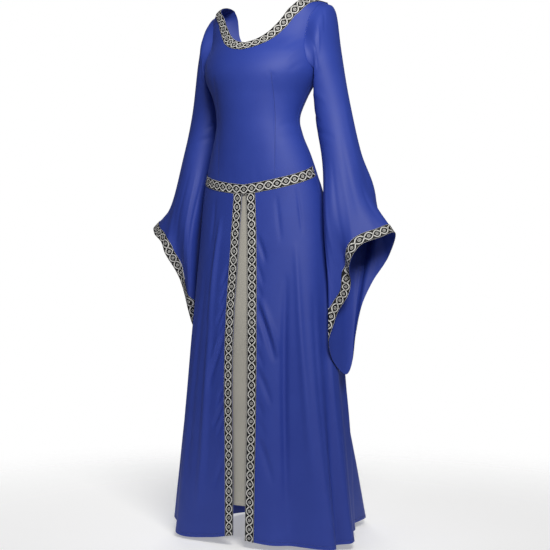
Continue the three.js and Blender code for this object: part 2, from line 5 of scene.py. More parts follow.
import bpy
import numpy as np
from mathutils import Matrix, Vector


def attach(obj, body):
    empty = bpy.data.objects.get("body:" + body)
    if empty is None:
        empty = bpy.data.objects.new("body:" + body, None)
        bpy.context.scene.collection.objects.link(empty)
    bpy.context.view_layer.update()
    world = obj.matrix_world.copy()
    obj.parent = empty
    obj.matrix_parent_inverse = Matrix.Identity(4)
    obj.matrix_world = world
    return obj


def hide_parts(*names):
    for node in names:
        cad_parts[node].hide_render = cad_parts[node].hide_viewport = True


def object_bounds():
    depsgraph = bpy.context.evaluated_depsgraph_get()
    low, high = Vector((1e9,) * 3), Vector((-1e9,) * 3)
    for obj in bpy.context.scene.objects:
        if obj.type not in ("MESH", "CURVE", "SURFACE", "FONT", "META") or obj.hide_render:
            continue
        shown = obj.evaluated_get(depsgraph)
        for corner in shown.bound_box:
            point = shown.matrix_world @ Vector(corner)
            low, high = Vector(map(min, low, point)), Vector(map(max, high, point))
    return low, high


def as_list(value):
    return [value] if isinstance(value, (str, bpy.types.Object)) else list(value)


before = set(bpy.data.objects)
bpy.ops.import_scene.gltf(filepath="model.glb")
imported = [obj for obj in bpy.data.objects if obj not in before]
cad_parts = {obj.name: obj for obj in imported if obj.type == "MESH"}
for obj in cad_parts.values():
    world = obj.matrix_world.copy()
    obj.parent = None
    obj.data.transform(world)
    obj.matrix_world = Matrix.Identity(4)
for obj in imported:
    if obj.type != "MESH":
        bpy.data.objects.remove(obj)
cad_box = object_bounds()

MM = 0.001


def table(names, rows):
    """Columns of a short table, by name"""
    return dict(zip(names.split(), np.array(rows, float).T))


# Camera, level with the gown's middle and 28 degrees round from its front

CAMERA_AZIMUTH = math.radians(28)
CAMERA_DISTANCE = 3.2
CAMERA_HEIGHT = -0.722
LENS_MM = 78.13

lens = bpy.data.cameras.new("camera")
lens.lens = LENS_MM
lens.clip_end = 200
camera = bpy.data.objects.new("camera", lens)
camera.location = (
    CAMERA_DISTANCE * math.sin(CAMERA_AZIMUTH),
    -CAMERA_DISTANCE * math.cos(CAMERA_AZIMUTH),
    CAMERA_HEIGHT,
)
camera.rotation_euler = (math.pi / 2, 0, CAMERA_AZIMUTH)
bpy.context.scene.collection.objects.link(camera)
bpy.context.scene.camera = camera

# The cut, the same as the solids'

RIBBON_WIDTH = 25
SEAM = 0.35
HEM_Z = -1400
WAIST_SIDE_Z = -455
WAIST_FRONT_Z = -503
WAIST_BACK_Z = -462
UNDERPANEL_HEM_Z = -1308
PANEL_DROP = 2.6
UNDERARM_Z = -206
NECK_HALF = 130
STRAP = 26
SHOULDER_SLOPE = 0.4
FRONT_COLUMNS = 12
BACK_COLUMNS = 11
SIDE_ROWS = 5
ARMHOLE_ROWS = 9
STRAP_ROWS = 9
STRAP_COLUMNS = 3
SKIRT_ROWS = 14
SLEEVE_RINGS = 13
FINE = 6
FINE_ROWS = 9

# Thin cloth, and a ribbon woven thicker
CLOTH = 0.9
RIBBON = 1.0

# Girth at each height: half width at the side seam, then the Y of its front, back and side seam
GIRTHS = table("z half front back side", [
    (-5, 168, -70, 18, -1),
    (-22, 170, -122, 40, -8),
    (-60, 172, -130, 54, -22),
    (-110, 160, -152, 57, -40),
    (-160, 163, -186, 50, -56),
    (-206, 157, -200, 34, -68),
    (-262, 129, -193, 10, -78),
    (-315, 115, -185, -10, -92),
    (-358, 121, -181, 0, -90),
    (-408, 139, -176, 18, -82),
    (-461, 155, -172, 36, -77),
    (-520, 170, -168, 52, -70),
    (-600, 180, -171, 68, -66),
    (-700, 190, -177, 88, -66),
    (-850, 203, -187, 124, -70),
    (-1000, 218, -191, 160, -76),
    (-1125, 231, -191, 196, -80),
    (-1250, 244, -192, 230, -83),
    (HEM_Z, 259, -194, 256, -85),
    (-1450, 264, -195, 266, -86),
])
RIDGE_HALF = 166
RIDGE = len(GIRTHS["z"])

# Folds that open towards the hem: bearing from the front centre, half spread, share of the girth, top
FOLDS = table("bearing spread share top", [
    (-160, 13, -0.07, -620),
    (-138, 13, 0.13, -560),
    (-116, 12, -0.09, -640),
    (-92, 13, 0.03, -700),
    (-70, 12, -0.05, -700),
    (-46, 14, 0.07, -560),
    (-24, 11, -0.03, -800),
    (17, 12, 0.06, -700),
    (35, 10, -0.12, -600),
    (54, 12, 0.14, -620),
    (74, 9, -0.08, -560),
    (90, 10, 0.04, -600),
    (106, 9, -0.14, -760),
    (128, 12, -0.13, -900),
    (149, 10, 0.15, -580),
    (176, 12, -0.06, -640),
])
FOLD_GROWTH = 1.2

NECK = {
    -1: table("x z", [(0, -127), (27, -120), (52, -103), (74, -76), (93, -44), (112, -20), (NECK_HALF, 0)]),
    1: table("x z", [(0, -150), (42, -144), (82, -122), (118, -84), (128, -38), (NECK_HALF, 0)]),
}
SHOULDER_END = NECK_HALF + STRAP
ARMHOLE = {
    -1: table("x z", [(153, -180), (144, -145), (139, -105), (143, -60), (153, -22), (SHOULDER_END, 0)]),
    1: table("x z", [(147, -180), (143, -145), (147, -105), (154, -60), (158, -22), (SHOULDER_END, 0)]),
}
HEM = {
    1: table("bearing z", [(0, -1392), (20, -1400), (60, -1402), (100, -1394), (150, -1398), (180, -1404)]),
    -1: table("bearing z", [(0, -1381), (20, -1398), (45, -1406), (90, -1376), (135, -1410), (180, -1404)]),
}
OPENING = table("drop half", [(500, 5.5), (620, 12), (840, 20), (1000, 22), (1226, 19), (1450, 17)])

# Rings of the left sleeve after the armhole, each through four points
SLEEVE_ALONG = [0, 0.09, 0.22, 0.4, 0.56, 0.76, 1]
SLEEVE = {
    "outer": [(180, -10, -34), (203, -32, -140), (233, -33, -290), (259, -34, -400), (294, -34, -520)],
    "front": [(170, -98, -112), (178, -94, -180), (188, -82, -312), (212, -90, -425), (240, -108, -570)],
    "under": [(160, -62, -214), (148, -54, -256), (147, -36, -338), (171, -46, -450), (194, -80, -640)],
    "back": [(166, 6, -110), (176, 12, -180), (190, 15, -312), (216, 20, -425), (250, 40, -560)],
}

# Cuff edge of the left sleeve, round a turn from the wrist over the front
# The right one hangs further back and up
CUFF = table("turn x y z back rise", [
    (0, 359, -31, -618, 0, 26),
    (0.07, 335, -76, -629, 0, 20),
    (0.14, 297, -99, -646, 0, 12),
    (0.2, 277, -110, -675, 0, 8),
    (0.25, 263, -99, -708, 10, 4),
    (0.3, 254, -68, -742, 0, 0),
    (0.35, 243, -66, -776, 0, 0),
    (0.4, 227, -86, -812, 10, 0),
    (0.45, 221, -103, -848, 34, 0),
    (0.5, 213, -112, -890, 60, 0),
    (0.55, 216, -95, -938, 62, 0),
    (0.6, 229, -49, -976, 50, 0),
    (0.66, 239, -30, -950, 38, 0),
    (0.74, 245, -23, -880, 26, 0),
    (0.82, 258, -14, -805, 14, 4),
    (0.89, 281, 8, -738, 6, 10),
    (0.95, 314, 26, -680, 0, 18),
])

# Creases: from one end to the other, then half width, height and sideways bow

# On the skirt, by bearing and height
SKIRT_CREASES = table("from_bearing from_z to_bearing to_z width depth bow", [
    (-25, -570, -30, -850, 8, 2.6, 2),
    (-29, -800, -32, -1330, 9, 2.9, -4),
    (-12, -690, -19, -750, 5, -2.1, 1),
    (-12, -730, -20, -800, 4, -1.8, 1),
    (-12, -770, -22, -850, 5, -2.4, 1),
    (-12, -806, -20, -886, 4, -1.8, 1),
    (-12, -850, -28, -1010, 8, -2.6, 3),
    (-14, -835, -27, -975, 7, 1.4, 3),
    (-12, -1000, -19, -1060, 4, -1.9, 1),
    (-12, -1040, -22, -1118, 5, -2.3, 1),
    (-12, -1085, -18, -1136, 4, -1.7, 1),
    (-11, -1180, -19, -1270, 6, -1.3, 2),
    (-40, -700, -43, -1330, 12, -1.3, 5),
    (-58, -720, -60, -1200, 12, 1.0, -4),
    (-76, -860, -80, -1360, 12, -1.4, 4),
    (12, -620, 20, -692, 6, -1.9, -1),
    (12, -690, 18, -748, 4, -1.3, -1),
    (12, -742, 17, -784, 4, -1.0, -1),
    (12, -788, 27, -940, 8, -3.4, -3),
    (15, -778, 30, -930, 8, 2.2, -3),
    (12, -850, 17, -900, 4, -1.2, -1),
    (12, -903, 18, -958, 4, -1.4, -1),
    (12, -950, 23, -1050, 6, -2.3, -2),
    (12, -1032, 17, -1082, 4, -1.3, -1),
    (12, -1080, 18, -1130, 4, -1.1, -1),
    (12, -1126, 22, -1250, 7, -2.2, -3),
    (37, -720, 32, -1300, 9, -3.2, 4),
    (46, -640, 48, -1250, 9, 2.4, -3),
    (62, -760, 60, -1330, 12, -1.3, 5),
    (82, -700, 84, -1300, 9, 1.2, 3),
    (98, -760, 99, -1330, 9, -1.8, -3),
    (116, -620, 118, -1280, 10, 1.9, 4),
    (138, -700, 136, -1350, 11, -2.4, -4),
    (160, -560, 162, -1200, 10, 1.8, 4),
    (171, -820, 168, -1370, 9, -2.0, 3),
    (-104, -640, -103, -1300, 10, 1.9, 3),
    (-127, -720, -129, -1350, 11, -2.2, -4),
    (-150, -580, -148, -1180, 9, 1.8, 4),
    (-172, -800, -170, -1360, 10, -2.1, -3),
    (30, -520, 33, -640, 7, -0.9, 1),
    (52, -500, 54, -620, 6, -0.8, 1),
    (-34, -522, -36, -650, 7, -0.9, -1),
    (-62, -498, -63, -600, 6, -0.7, 1),
    (120, -480, 122, -600, 7, -0.9, 1),
    (150, -476, 151, -590, 6, -0.8, -1),
    (-118, -480, -120, -590, 6, -0.8, 1),
    (-148, -478, -150, -600, 7, -0.9, 1),
])

# On the front bodice, by distance from the centre and height, both halves alike but for the drag lines
BODICE_CREASES = table("from_x from_z to_x to_z width depth bow", [
    (84, -214, 83, -470, 1.6, -0.9, 1),
    (84, -214, 83, -470, 14, -1.2, 1),
    (84, -216, 100, -300, 9, -1.1, 2),
    (76, -208, 92, -222, 4, -0.9, 0),
    (-84, -214, -83, -470, 1.6, -0.9, -1),
    (-84, -214, -83, -470, 14, -1.2, -1),
    (-82, -218, -97, -296, 9, -1.0, -2),
    (-77, -208, -91, -221, 4, -0.8, 0),
    (139, -112, 104, -150, 7, -1.0, 3),
    (142, -140, 112, -186, 6, 0.8, 3),
    (150, -178, 120, -212, 6, -0.8, 2),
    (-139, -116, -108, -152, 7, -0.9, -3),
    (-143, -146, -116, -190, 6, 0.8, -3),
    (-150, -180, -122, -216, 6, -0.8, -2),
    (118, -330, 90, -350, 6, -0.7, 2),
    (120, -380, 88, -372, 7, -0.6, 2),
    (-116, -334, -92, -352, 6, -0.6, -2),
    (34, -440, 40, -490, 6, -0.5, 1),
    (-30, -446, -36, -492, 6, -0.5, 1),
])

# On the back panels, by distance from the centre and height
BACK_CREASES = table("from_x from_z to_x to_z width depth bow", [
    (62, -240, 60, -452, 12, -1.2, 1),
    (140, -126, 100, -168, 7, -1.0, 3),
    (146, -180, 112, -214, 6, 0.8, 2),
    (112, -300, 60, -316, 7, -0.9, 3),
    (116, -352, 50, -362, 8, 0.9, -3),
    (-62, -238, -60, -450, 12, -1.1, -1),
    (-141, -130, -104, -172, 7, -0.9, -3),
    (-146, -178, -114, -212, 6, 0.8, -2),
    (-112, -306, -66, -322, 7, -0.8, -3),
    (-115, -356, -56, -360, 8, 0.9, 3),
])

# On the sleeves, by share of a turn and share of the length
SLEEVE_CREASES = table("from_turn from_share to_turn to_share width depth bow", [
    (0.1, 0.02, 0.16, 0.16, 7, -1.4, 2),
    (0.2, 0.03, 0.25, 0.2, 8, 1.4, -2),
    (0.3, 0.05, 0.27, 0.24, 7, -1.8, 3),
    (0.92, 0.04, 0.86, 0.2, 8, -1.5, 2),
    (0.78, 0.05, 0.8, 0.24, 8, 1.4, 3),
    (0.42, 0.16, 0.24, 0.26, 6, -2.0, 4),
    (0.46, 0.24, 0.22, 0.37, 7, 1.9, -4),
    (0.5, 0.3, 0.3, 0.42, 6, -2.2, 5),
    (0.44, 0.42, 0.2, 0.5, 7, -1.8, -4),
    (0.62, 0.3, 0.78, 0.42, 7, -1.8, 4),
    (0.58, 0.44, 0.8, 0.54, 8, 1.6, -4),
    (0.06, 0.34, 0.05, 0.66, 12, 1.0, 3),
    (0.15, 0.5, 0.12, 0.93, 10, -1.6, 4),
    (0.2, 0.6, 0.19, 0.97, 9, 1.6, -3),
    (0.26, 0.56, 0.25, 0.97, 8, -2.0, 3),
    (0.33, 0.56, 0.35, 0.97, 8, 2.4, 4),
    (0.4, 0.54, 0.43, 0.98, 8, -2.4, -4),
    (0.06, 0.7, 0.02, 0.97, 7, -2.0, 3),
    (0.94, 0.6, 0.96, 0.97, 8, 1.9, -3),
    (0.88, 0.5, 0.86, 0.96, 9, -2.3, 4),
    (0.8, 0.56, 0.77, 0.97, 9, 2.2, -4),
    (0.72, 0.5, 0.68, 0.96, 8, -2.4, 4),
    (0.62, 0.58, 0.6, 0.97, 9, 2.0, 3),
    (0.53, 0.5, 0.52, 0.96, 8, -2.2, -3),
])


# The form

def smooth(values, place, lane=None):
    """Value of a smooth curve through evenly spaced values, or of one curve of points for each lane"""
    values = np.asarray(values, float)
    last = len(values) - 1
    at = np.clip(place, 0, last)
    k = np.minimum(np.floor(at).astype(int), last - 1)
    f, first, final = at - k, k == 0, k + 1 == last
    if lane is not None:
        f, first, final = f[..., None], first[..., None], final[..., None]
    four = (np.maximum(k - 1, 0), k, k + 1, np.minimum(k + 2, last))
    p0, p1, p2, p3 = (values[n] if lane is None else values[n, lane] for n in four)
    p0 = np.where(first, 2 * p1 - p2, p0)
    p3 = np.where(final, 2 * p2 - p1, p3)
    return p1 + 0.5 * f * (p2 - p0 + f * (2 * p0 - 5 * p1 + 4 * p2 - p3 + f * (3 * (p1 - p2) + p3 - p0)))


def read(rows, key, column, reading):
    """Value of a table's column at a reading of its rising key column"""
    return smooth(rows[column], np.interp(reading, rows[key], np.arange(len(rows[key]))))


def around(front, ridge, back):
    """Values up the front, at the shoulder ridge and down the back"""
    return np.concatenate([front[::-1], [ridge], back])


LOOP = {
    "z": around(GIRTHS["z"], 0, GIRTHS["z"]),
    "half": around(GIRTHS["half"], RIDGE_HALF, GIRTHS["half"]),
    "reach": around(GIRTHS["front"] - GIRTHS["side"], 0, GIRTHS["back"] - GIRTHS["side"]),
    "side": around(GIRTHS["side"], 0, GIRTHS["side"]),
}
FINE_STEPS = 12001
STEPS = np.linspace(0, RIDGE, FINE_STEPS)
DROPS = {face: -smooth(LOOP["z"], RIDGE + face * STEPS) for face in (-1, 1)}


def place_of(z, face):
    """Place in the loop of girths for a height, on the front (-1) or the back (+1)"""
    return RIDGE + face * np.interp(-np.asarray(z, float), DROPS[face], STEPS)


def hump(distance, width):
    """One at no distance, fading over a width"""
    return np.exp(-((distance / width) ** 2))


def fold_share(bearing, z):
    """Outward share of the folds at a bearing round the skirt"""
    share = np.zeros(np.shape(bearing))
    for middle, half_spread, much, top in zip(*FOLDS.values()):
        turn = np.mod(bearing - middle + 180, 360) - 180
        growth = np.maximum((top - z) / (top - HEM_Z), 0) ** FOLD_GROWTH
        share = share + much * growth * hump(turn, half_spread)
    return share


def form(place, angle):
    """Points of the gown's outer face by place in the loop and angle from the centre line"""
    half, side, reach, z = (smooth(LOOP[name], place) for name in ("half", "side", "reach", "z"))
    behind = np.where(angle < 0, -np.pi, np.pi) - angle
    bearing = np.degrees(np.where(place < RIDGE, angle, behind))
    swell = 1 + fold_share(bearing, z)
    x = half * np.sin(angle) * swell
    past = np.maximum(np.abs(x) - NECK_HALF, 0)
    slope = np.where(z > UNDERARM_Z, SHOULDER_SLOPE * past * (1 - z / UNDERARM_Z) ** 2, 0)
    return np.stack([x, side + reach * np.cos(angle) * swell, z - slope], -1)


def surface(pairs):
    return form(pairs[..., 0], pairs[..., 1])


def outward(pairs):
    """Unit vectors square to the form"""
    tiny = 0.002
    place, angle = pairs[..., 0], pairs[..., 1]
    by_place = form(place + tiny, angle) - form(place - tiny, angle)
    by_angle = form(place, angle + tiny) - form(place, angle - tiny)
    normal = np.cross(by_angle, by_place)
    return normal / np.linalg.norm(normal, axis=-1, keepdims=True)


def angle_of(x, place):
    return np.arcsin(np.clip(x / smooth(LOOP["half"], place), -1, 1))


def edge_pairs(rows, face):
    """A cut edge given by distances and heights, as pairs of place and angle"""
    place = np.where(rows["z"] == 0, RIDGE, place_of(rows["z"], face))
    return np.stack([place, angle_of(rows["x"], place)], -1)


def along(pairs, share):
    """Pairs at shares of the way along a smooth curve of them"""
    at = np.asarray(share) * (len(pairs) - 1)
    return np.stack([smooth(pairs[:, 0], at), smooth(pairs[:, 1], at)], -1)


def lengths(points):
    """Running length of a line of points"""
    steps = np.linalg.norm(np.diff(points, axis=0), axis=1)
    return np.concatenate([[0], np.cumsum(steps)])


def evenly(pairs, count):
    """The curve of pairs again, with its points evenly spaced on the form"""
    share = np.linspace(0, 1, 8 * count + 1)
    run = lengths(surface(along(pairs, share)))
    return along(pairs, np.interp(np.linspace(0, run[-1], count + 1), run, share))


def walk_aside(pairs, direction, distance, towards):
    """Pairs reached by walking a distance over the form, square to a direction"""
    pace = 0.5
    tiny = 0.001
    place, angle = pairs[:, 0].copy(), pairs[:, 1].copy()
    for _ in range(int(distance / pace)):
        here = form(place, angle)
        by_place = (form(place + tiny, angle) - here) / tiny
        by_angle = (form(place, angle + tiny) - here) / tiny
        aside = np.cross(np.cross(by_angle, by_place), direction)
        aside *= towards * pace / np.linalg.norm(aside, axis=1, keepdims=True)
        pp = np.sum(by_place * by_place, 1)
        pa = np.sum(by_place * by_angle, 1)
        aa = np.sum(by_angle * by_angle, 1)
        dp, da = np.sum(aside * by_place, 1), np.sum(aside * by_angle, 1)
        det = pp * aa - pa * pa
        place += (dp * aa - da * pa) / det
        angle += (da * pp - dp * pa) / det
    return np.stack([place, angle], -1)


def mix(a, b, t):
    return a + (b - a) * t


WAIST_BEND = 1.25


def waist_seam(angle, face):
    """Height of the waist seam at an angle from the centre line"""
    middle = WAIST_FRONT_Z if face < 0 else WAIST_BACK_Z
    return mix(middle, WAIST_SIDE_Z, np.abs(angle / (np.pi / 2)) ** WAIST_BEND)


def column_angle(column, z, face, centred=False):
    """Angle of a column at a height: the opening's edge, the ribbon's edge, then evenly to the side seam"""
    place = place_of(z, face)
    side = np.pi / 2
    if face > 0:
        return side * column / BACK_COLUMNS * np.ones_like(place)
    opening = read(OPENING, "drop", "half", -np.minimum(z, -OPENING["drop"][0]))
    edge = 0 if centred else angle_of(opening, place)
    ribbon = angle_of(opening + RIBBON_WIDTH, place)
    beyond = mix(ribbon, side, (column - 1) / (FRONT_COLUMNS - 1))
    return np.where(column < 1, mix(edge, ribbon, column), beyond)


def fill(low, high, near, far):
    """Pairs inside four edges: low and high run across, near and far run up"""
    s = np.linspace(0, 1, len(low))[:, None, None]
    t = np.linspace(0, 1, len(near))[None, :, None]
    rise = mix(low[:, None], high[:, None], t)
    span = mix(near[None], far[None], s)
    corners = mix(mix(near[0], far[0], s), mix(high[0], high[-1], s), t)
    return rise + span - corners


def column_shares(count, *edges):
    """Even shares of a count, with more near the cut edges at its start or end"""
    close = np.array([0.02, 0.06, 0.12, 0.2])
    extra = [close if edge == 0 else count - close for edge in edges]
    return np.unique(np.round(np.concatenate([np.arange(0, count + 0.01, 1 / FINE), *extra]), 4))


def bodice_half(face):
    """Left half of a bodice panel, as pairs: body, strap and the band at the neck, with its armhole"""
    columns = FRONT_COLUMNS if face < 0 else BACK_COLUMNS
    inner = (columns - STRAP_COLUMNS) * FINE
    neck = evenly(edge_pairs(NECK[face], face), inner + STRAP_ROWS * FINE)
    armhole = edge_pairs(ARMHOLE[face], face)
    points = surface(neck)
    direction = np.zeros_like(points)
    direction[1:-1] = points[2:] - points[:-2]
    direction[0] = (1, 0, 0)
    direction[-1] = direction[-2]
    band = walk_aside(neck, direction, RIBBON_WIDTH, face)
    band[0, 1] = 0
    end = armhole[-1]
    share = np.linspace(0, 1, FINE)[:, None]
    band[-FINE:] = mix(band[-FINE], end, share)
    underarm = [place_of(UNDERARM_Z, face), column_angle(columns, UNDERARM_Z, face)]
    opening = evenly(np.vstack([[underarm], armhole]), (ARMHOLE_ROWS + STRAP_ROWS) * FINE)
    strap_foot = opening[ARMHOLE_ROWS * FINE]
    column = np.linspace(0, columns, columns * FINE + 1)
    angle = column_angle(column, WAIST_SIDE_Z, face, centred=True)
    foot = np.stack([place_of(waist_seam(angle, face) + SEAM, face), angle], -1)
    top = np.stack([place_of(waist_seam(angle, face) + RIBBON_WIDTH / 2, face), angle], -1)
    across = mix(band[inner], strap_foot, np.linspace(0, 1, STRAP_COLUMNS * FINE + 1)[:, None])
    high = np.vstack([band[:inner], across])
    rise = np.linspace(0, 1, (SIDE_ROWS + ARMHOLE_ROWS) * FINE + 1)[:, None]
    near = mix(top[0], band[0], rise)
    side_z = np.linspace(smooth(LOOP["z"], top[-1, 0]), UNDERARM_Z, SIDE_ROWS * FINE + 1)
    side = np.stack([place_of(side_z, face), column_angle(columns, side_z, face)], -1)
    far = np.vstack([side, opening[1:ARMHOLE_ROWS * FINE + 1]])
    under = mix(foot[:, None], top[:, None], np.linspace(0, 1, FINE + 1)[None, :-1, None])
    body = np.concatenate([under, fill(top, high, near, far)], axis=1)
    strap = fill(across, np.repeat(end[None], len(across), 0), band[inner:], opening[ARMHOLE_ROWS * FINE:])
    edge = mix(band[:, None], neck[:, None], np.linspace(0, 1, FINE + 1)[None, :, None])
    return [body, strap, edge], opening


def mirrored(patch):
    """The same patch on the other half of its face, its columns the other way round"""
    return patch[::-1] * (1, -1)


# Distance kept from the shoulder ridge, as a share of the step between two girths
RIDGE_GAP = 0.006


def clear_of_ridge(patch, face):
    """The pairs moved down the face by half a seam where they touch the shoulder ridge"""
    limit = RIDGE + face * RIDGE_GAP
    place = np.minimum(patch[..., 0], limit) if face < 0 else np.maximum(patch[..., 0], limit)
    return np.stack([place, patch[..., 1]], -1)


# Creases and edges of the cloth

TAPER = 0.7


def crease_lift(across, down, rows):
    """Height of the creases at points measured across and down a piece, in millimetres"""
    lift = np.zeros(np.shape(across))
    for x0, y0, x1, y1, width, depth, bow in zip(*rows.values()):
        dx, dy = x1 - x0, y1 - y0
        run = math.hypot(dx, dy)
        t = ((across - x0) * dx + (down - y0) * dy) / run ** 2
        off = ((across - x0) * dy - (down - y0) * dx) / run - bow * np.sin(np.pi * np.clip(t, 0, 1))
        fade = np.sin(np.pi * np.clip(t, 0, 1)) ** TAPER
        lift = lift + depth * fade * hump(off, width)
    return lift


def in_mm(rows, **scales):
    """The rows with their angles or shares made millimetres, by the last word of each column's name"""
    return {name: column * scales.get(name.split("_")[-1], 1) for name, column in rows.items()}


def soft_step(distance, width):
    t = np.clip(distance / width, 0, 1)
    return t * t * (3 - 2 * t)


def sway(across, down, size):
    """Slow unevenness of hand-finished cloth"""
    a, d = across / size, down / size
    return np.sin(a + 0.6 * np.sin(0.7 * d)) * np.sin(0.9 * d + 0.8 * np.sin(0.5 * a + 1.3))


def tube_normals(points):
    """Outward unit vectors over a tube's grid of points, whose last column is its first"""
    wrapped = np.concatenate([points[-2:-1], points, points[1:2]])
    by_column = np.gradient(wrapped, axis=0)[1:-1]
    normal = np.cross(by_column, np.gradient(points, axis=1))
    return normal / np.linalg.norm(normal, axis=-1, keepdims=True)


# Meshes

WELDS_PER_MM = 50
SHARP_DEGREES = 50


def sides(corners):
    """The four sides of each quad, as pairs of its corners"""
    return np.concatenate([np.stack([corners[:, k], corners[:, (k + 1) % 4]], -1) for k in range(4)])


def grid_corners(patches):
    """Corners of the quads over each grid of points, numbered through all the grids"""
    corners = []
    start = 0
    for grid in patches:
        columns, rows = grid.shape[:2]
        index = start + np.arange(columns * rows).reshape(columns, rows)
        quads = np.stack([index[:-1, :-1], index[1:, :-1], index[1:, 1:], index[:-1, 1:]], -1)
        corners.append(quads.reshape(-1, 4))
        start += columns * rows
    return np.concatenate(corners)


def vertex_normals(points, quads):
    """Outward unit vectors of welded points, from the quads that meet at each"""
    facing = np.cross(points[quads[:, 2]] - points[quads[:, 0]], points[quads[:, 3]] - points[quads[:, 1]])
    normal = np.zeros_like(points)
    for k in range(4):
        np.add.at(normal, quads[:, k], facing)
    return normal / np.maximum(np.linalg.norm(normal, axis=1, keepdims=True), 1e-9)


def link(name, data):
    """A new object over a mesh or a lamp, in the scene"""
    piece = bpy.data.objects.new(name, data)
    bpy.context.scene.collection.objects.link(piece)
    return piece


def shell(name, patches, thickness, lift=0, flats=None):
    """A closed thin wall over grids that meet, its outer face lifted off them, with flats as UV"""
    flat_patches = flats or [points[..., :2] * MM for points in patches]
    raw = np.concatenate([points.reshape(-1, 3) for points in patches])
    uv = np.concatenate([grid.reshape(-1, 2) for grid in flat_patches])
    _, first, ids = np.unique(np.round(raw * WELDS_PER_MM), axis=0, return_index=True, return_inverse=True)
    ids = ids.reshape(-1)
    points = raw[first]
    corners = grid_corners(patches)
    quads = ids[corners]
    normal = vertex_normals(points, quads)
    count = len(points)
    edges, edge_corners = sides(quads), sides(corners)
    real = edges[:, 0] != edges[:, 1]
    edges, edge_corners = edges[real], edge_corners[real]
    open_edge = ~np.isin(edges[:, 0] * count + edges[:, 1], edges[:, 1] * count + edges[:, 0])
    a, b = edges[open_edge].T
    rim = np.stack([b, a, a + count, b + count], -1)
    rim_corners = edge_corners[open_edge][:, [1, 0, 0, 1]]
    faces = np.concatenate([quads, quads[:, ::-1] + count, rim])
    face_corners = np.concatenate([corners, corners[:, ::-1], rim_corners])
    polygons, used = [], []
    for face, corner in zip(faces.tolist(), face_corners.tolist()):
        kept = [k for k in range(4) if face[k] != face[k - 1]]
        if len(kept) > 2:
            polygons.append([face[k] for k in kept])
            used.extend(corner[k] for k in kept)
    wall = np.concatenate([points + normal * lift, points + normal * (lift - thickness)])
    mesh = bpy.data.meshes.new(name)
    mesh.from_pydata((wall * MM).tolist(), [], polygons)
    layer = mesh.uv_layers.new(name="flat")
    layer.data.foreach_set("uv", uv[np.array(used)].astype(np.float32).ravel())
    mesh.shade_smooth()
    mesh.set_sharp_from_angle(angle=math.radians(SHARP_DEGREES))
    return link(name, mesh)


def add(tree, kind, settings=None, inputs=None):
    """A node with its settings, its values and the sockets that feed it"""
    node = tree.nodes.new(kind)
    for name, value in (settings or {}).items():
        setattr(node, name, value)
    for name, value in (inputs or {}).items():
        if isinstance(value, bpy.types.NodeSocket):
            tree.links.new(value, node.inputs[name])
        else:
            node.inputs[name].default_value = value
    return node


# Sewing

STITCH_PITCH = 3.4
STITCH_LENGTH = 2.3
THREAD_RADIUS = 0.28
THREAD_SIDES = 6


def stitch_tree():
    """Geometry Nodes that lay short straight stitches along a line"""
    tree = bpy.data.node_groups.new("machine_stitches", "GeometryNodeTree")
    tree.interface.new_socket("Line", in_out="INPUT", socket_type="NodeSocketGeometry")
    for label in ("Pitch", "Length", "Thread"):
        tree.interface.new_socket(label, in_out="INPUT", socket_type="NodeSocketFloat")
    tree.interface.new_socket("Finish", in_out="INPUT", socket_type="NodeSocketMaterial")
    tree.interface.new_socket("Stitches", in_out="OUTPUT", socket_type="NodeSocketGeometry")
    given = add(tree, "NodeGroupInput").outputs
    curve = add(tree, "GeometryNodeMeshToCurve", inputs={"Mesh": given["Line"]}).outputs["Curve"]
    spots = add(tree, "GeometryNodeCurveToPoints", {"mode": "LENGTH"}, {
        "Curve": curve, "Length": given["Pitch"],
    })
    stitch = add(tree, "GeometryNodeMeshCylinder", {"fill_type": "TRIANGLE_FAN"}, {
        "Vertices": THREAD_SIDES, "Radius": given["Thread"], "Depth": given["Length"],
    })
    laid = add(tree, "GeometryNodeInstanceOnPoints", inputs={
        "Points": spots.outputs["Points"],
        "Instance": stitch.outputs["Mesh"],
        "Rotation": spots.outputs["Rotation"],
    })
    real = add(tree, "GeometryNodeRealizeInstances", inputs={"Geometry": laid.outputs["Instances"]})
    dyed = add(tree, "GeometryNodeSetMaterial", inputs={
        "Geometry": real.outputs["Geometry"], "Material": given["Finish"],
    })
    add(tree, "NodeGroupOutput", inputs={"Stitches": dyed.outputs["Geometry"]})
    return tree


STITCHES = stitch_tree()


def sew(name, lines, thread):
    """Stitches along lines of points, as one mesh"""
    points = np.concatenate(lines) * MM
    mesh = bpy.data.meshes.new(name)
    links = []
    start = 0
    for line in lines:
        links.extend((start + k, start + k + 1) for k in range(len(line) - 1))
        start += len(line)
    mesh.from_pydata(points.tolist(), links, [])
    piece = link(name, mesh)
    modifier = piece.modifiers.new("stitches", "NODES")
    modifier.node_group = STITCHES
    values = {"Pitch": STITCH_PITCH * MM, "Length": STITCH_LENGTH * MM, "Thread": THREAD_RADIUS * MM}
    values["Finish"] = thread
    for item in STITCHES.interface.items_tree:
        if item.in_out == "INPUT" and item.name in values:
            modifier[item.identifier] = values[item.name]
    piece.update_tag()
    depsgraph = bpy.context.evaluated_depsgraph_get()
    sewn = bpy.data.meshes.new_from_object(piece.evaluated_get(depsgraph))
    piece.modifiers.clear()
    piece.data = sewn
    sewn.shade_smooth()
    return piece


# Finishes

def linear(colour):
    """An sRGB hex colour as linear values"""
    parts = [int(colour[k:k + 2], 16) / 255 for k in (1, 3, 5)]
    return [p / 12.92 if p <= 0.04045 else ((p + 0.055) / 1.055) ** 2.4 for p in parts] + [1.0]


def finish(name, looks):
    """A new material with its tree and the inputs of its shader, some of them set"""
    material = bpy.data.materials.new(name)
    material.use_nodes = True
    tree = material.node_tree
    shader = tree.nodes["Principled BSDF"].inputs
    for label, value in looks.items():
        shader[label].default_value = value
    return material, tree, shader


